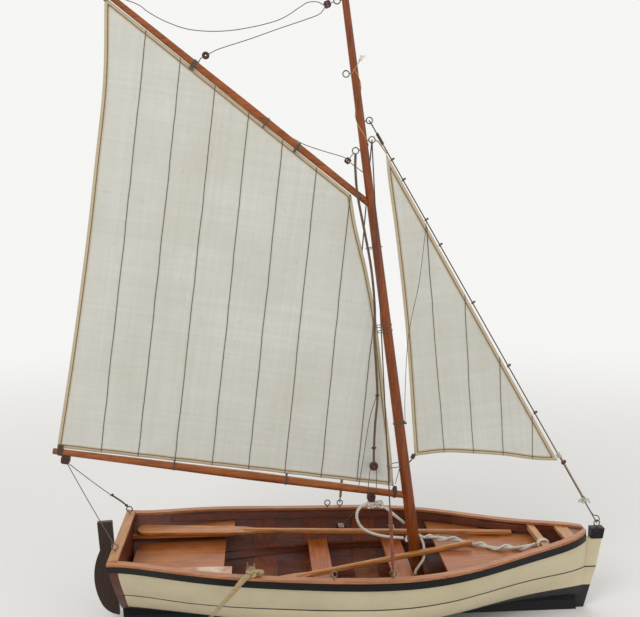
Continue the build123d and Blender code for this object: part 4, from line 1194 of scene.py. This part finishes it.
# %% Halyards and tackle
THREADS = (
    # name, rig end, hull end, radius, material, strands, points
    ("peak_halyard", (-236, 0, 610), (-46, 0, 606), 0.40, dark_thread, 0,
     ((-237.0, 0.0, 611.6), (-228.0, 0.0, 609.0), (-212.9, 0.0, 603.5), (-203.9, 0.0, 597.0),
      (-187.8, 0.0, 588.8), (-167.0, 0.0, 582.4), (-139.5, 0.0, 581.2), (-111.8, 0.0, 584.9),
      (-84.0, 0.0, 592.4), (-65.4, 0.0, 603.6), (-57.9, 0.0, 608.0), (-48.7, 0.0, 608.4),
      (-43.1, 0.0, 605.6))),
    ("middle_halyard", (-150, 0, 560), (-44, 0, 600), 0.40, dark_thread, 0,
     ((-150.5, 0.0, 560.6), (-139.8, 0.0, 565.6), (-112.0, 0.0, 574.6), (-84.0, 0.0, 584.5),
      (-60.0, 0.0, 592.6), (-47.0, 0.0, 597.8), (-42.0, 0.0, 604.0))),
    ("throat_halyard", (-72, 0, 484), (-24, 0, 467), 0.40, dark_thread, 0,
     ((-75.0, 0.0, 485.8), (-61.8, 0.0, 478.6), (-44.0, 0.0, 472.6), (-26.5, 0.0, 467.6),
      (-21.0, 0.0, 465.0))),
    ("luff_rope", (7, -6, 170), (-13, 0, 470), 1.45, braided_line, 3,
     ((7.0, -6.0, 164.5), (7.0, -6.0, 180.0), (8.0, -6.0, 205.0), (9.9, -6.2, 232.0), (8.2, -6.2, 264.8),
      (6.4, -6.2, 290.0), (6.5, -6.2, 320.0), (2.8, -6.4, 359.0), (-4.0, -6.6, 395.0),
      (-11.0, -6.4, 430.0), (-13.0, -3.0, 455.0), (-12.6, 0.0, 469.6))),
    ("sheet_starboard", (-297, 0, 170), (-247, -38.8, 100), 0.40, dark_thread, 0,
     ((-297.3, 0.0, 171.0), (-272.0, -19.6, 134.6), (-246.8, -38.8, 100.6))),
    ("sheet_port", (-297, 0, 170), (-247, 55, 100), 0.40, dark_thread, 0,
     ((-297.3, 0.0, 171.0), (-272.0, 27.5, 134.6), (-246.8, 55.0, 100.6))),
)
for name, rig_end, hull_end, radius, material, strands, points in THREADS:
    line = even(drawn(points, 240), 0.9 if strands else 3.0)
    rope(name, [line], radius, material, (RIG, HULL, rig_end, hull_end), "rigging", strands=strands,
         pitch=5.0)
rope("throat_halyard_end", [drawn([(-17.5, 0.0, 461.5), (-11.0, 0.0, 456.6), (-5.2, 0.0, 452.4)], 12)], 0.4,
     dark_thread, HULL, "rigging")
falls = [((3.6, -6.0, 158.0), (1.9, -6.0, 141.5), (1.9, -4.9, 134.5), (3.4, -3.9, 129.0)),
         ((10.2, -6.0, 158.0), (9.9, -6.0, 140.0), (9.2, -4.9, 133.4), (8.0, -3.9, 128.6)),
         ((9.9, -6.0, 236.0), (2.3, -5.6, 208.6), (-4.0, -4.6, 165.0), (-7.7, -3.4, 139.5))]
rope("tackle_falls", [drawn(p, 40) for p in falls], 0.38, dark_thread, RIG, "rigging")
print(len(THREADS) + 2, "lines led")

# %% [markdown]
# ## Blocks, knots and odd threads
# The model's own small blocks are turned discs with a groove for the line, so each one is an outline turned
# round its pin. Little knots mark where threads are made fast.

# %% Small blocks in the rigging
BLOCK_SIDES = 40


def turned_block(name, middle, radius, thick, body, hole=0.22):
    """A round block with a grooved rim: its outline from the hole over side and rim, turned round Y."""
    outline = np.array([(hole, -0.5), (0.8, -0.5), (0.97, -0.42), (1.0, -0.2), (0.86, 0.0), (1.0, 0.2),
                        (0.97, 0.42), (0.8, 0.5), (hole, 0.5)])
    angle = np.linspace(0, 2 * np.pi, BLOCK_SIDES, endpoint=False)[:, None]
    rim = outline[None, :, 0] * radius
    level = np.broadcast_to(outline[:, 1] * thick, (BLOCK_SIDES, len(outline)))
    points = np.stack([rim * np.cos(angle), level, rim * np.sin(angle)], -1).reshape(-1, 3)
    faces = grid_faces(BLOCK_SIDES, len(outline), True, True)
    block = new_piece(name, (points + middle) * MM, faces[:, ::-1], small_wood)
    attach(block, body)


turned_block("luff_tackle_block", (7.0, -6.2, 161.0), 4.4, 3.8, RIG)
turned_block("gaff_block", (-153.0, 0.0, 559.4), 3.5, 3.4, RIG)
knots = [knot_line((7.0, -6.0, 180.0), 4.0, UP), knot_line((9.9, -6.2, 234.0), 3.4, UP),
         knot_line((4.6, -6.0, 157.5), 2.6, SIDE)]
rope("tackle_knots", knots, 0.75, dark_line, RIG, "rigging", strands=2, pitch=3.0)
strop = [drawn([(-159.5, 0.0, 553.0), (-158.0, -1.0, 556.0), (-154.5, -0.8, 558.6)], 12)]
rope("gaff_block_strop", strop, 0.45, dark_thread, RIG, "rigging")
BOOM_END, SHEET_EYE = (-297.3, 0.0, 171.0), (-246.8, 55.0, 100.6)
PORT_KNOT = between(BOOM_END, SHEET_EYE, 0.72)
second = np.array([PORT_KNOT, between(PORT_KNOT, SHEET_EYE, 0.5) + (0.8, 0, 0.5), SHEET_EYE]) * MM
sheet_knots = [even(second, 2.0), knot_line(PORT_KNOT, 3.4, UP),
               knot_line(between(PORT_KNOT, SHEET_EYE, 0.86), 3.0, UP),
               knot_line((-248.2, -37.8, 102.4), 2.8, UP)]
rope("sheet_knots", sheet_knots, 0.5, dark_line, HULL, "rigging")
white = [knot_line((-305.0, -1.8, 188.6), 4.6, SIDE), knot_line((29.6, -1.8, 140.4), 4.8, SIDE)]
rope("corner_knots", white, 0.75, white_thread, RIG, "white_cord")
print("blocks and knots placed")

# %% Threads at the mast and jib
mast_top, mast_low = np.array([-18.3, 0.0, 576.0]), np.array([-4.7, 0.0, 477.0])
spiral = turns(mast_low, between(mast_low, mast_top, 0.72), 4.35, 4.35, -1.25, 0.72)
spiral_end = drawn([(-8.6, -2.8, 556.9), (-12.0, -4.3, 552.0), (-15.6, -3.4, 546.0),
                    (-17.6, -0.4, 542.6)], 20)
rope("mast_thread", [spiral, spiral_end], 0.42, tan_thread, HULL, "hemp")
tuft = [drawn([(-8.8, -2.6, 556.0), (-7.6 + 1.4 * lean, -3.0, 558.6),
               (-6.8 + 2.4 * lean, -3.2 + lean, 560.4)], 8)
        for lean in (-0.9, -0.3, 0.4, 1.0)]
rope("mast_thread_end", [knot_line((-8.8, -2.8, 556.6), 3.0), *tuft], 0.6, white_thread, HULL, "white_cord")
jib_thread = drawn([(57.0, -1.2, 406.0), (50.3, -5.5, 348.7), (43.7, -6.0, 315.2), (39.4, -6.0, 285.0),
                    (37.6, -6.0, 230.0), (38.6, -4.4, 203.5)], 80)
rope("jib_thread", [even(jib_thread, 3.0)], 0.3, dark_thread, (JIB, HULL, (57, 0, 400), (38.6, -4, 215)),
     "rigging")
middle = mast_at(202.5)
rope("mast_knot", [turns(middle, middle + 2.2 * MAST_LINE, 5.75, 5.75, 2),
                   knot_line(middle + (6.0, -1.2, 1.0), 3.0, UP)], 0.4, dark_thread, HULL, "rigging")
strop = drawn([(17.4, 0.0, 470.0), (13.0, 0.5, 476.0), (9.2, 0.6, 481.2), (6.2, 0.0, 482.6)], 24)
rope("jib_strop", [strop], 0.6, tan_thread, (JIB, HULL, (17, 0, 470), (7, 0, 482)), "hemp")
clew = [turns((49.0, 0.0, 170.6), (47.0, 0.0, 166.0), 1.6, 1.6, 4),
        drawn([(49.0, 0.0, 167.6), (46.0, -1.0, 164.6), (43.8, -1.6, 162.6)], 12)]
rope("jib_clew_toggle", clew, 0.6, dark_line, JIB, "rigging")
tack_turns = turns(stay_at(157.6) - 1.2 * STAY_WAY, stay_at(157.6) + 1.2 * STAY_WAY, 1.5, 2.4, 3, 0.1, -1.0)
rope("jib_tack_knot", [tack_turns], 0.45, dark_line, JIB, "rigging")
hook = drawn([(41.0, 0.0, 160.0), (37.0, 0.0, 160.6), (34.4, 0.0, 159.6), (34.2, 0.0, 157.0),
              (36.0, 0.0, 155.8)], 30)
rope("mast_hook", [hook], 0.5, wire, HULL, "wire")
tack_thread = drawn([(34.6, 0.0, 157.2), (32.0, -0.6, 147.5), (30.2, 0.0, 139.5)], 16)
rope("tack_thread", [tack_thread], 0.35, dark_thread, (RIG, HULL, (30, 0, 139), (34.6, 0, 157)), "rigging")
cleat_thread = drawn([(-17.3, 78.4, 62.4), (-12.0, 60.0, 78.0), (-6.0, 30.0, 100.0), (4.0, 3.0, 121.0)], 40)
cleat_turns = [turns((-20.4, 80.2, 62.4), (-14.2, 80.2, 62.4), 3.4, 1.9, 4),
               turns((36.0, 76.6, 60.4), (42.2, 76.6, 60.4), 3.8, 1.9, 4)]
rope("cleat_turns", cleat_turns, 0.62, body=HULL, **COTTON)
rope("cleat_thread", [even(cleat_thread, 3.0)], 0.28, dark_thread, (RIG, HULL, (4, 3, 121), (-17, 78, 62)),
     "rigging")
print("threads tied")
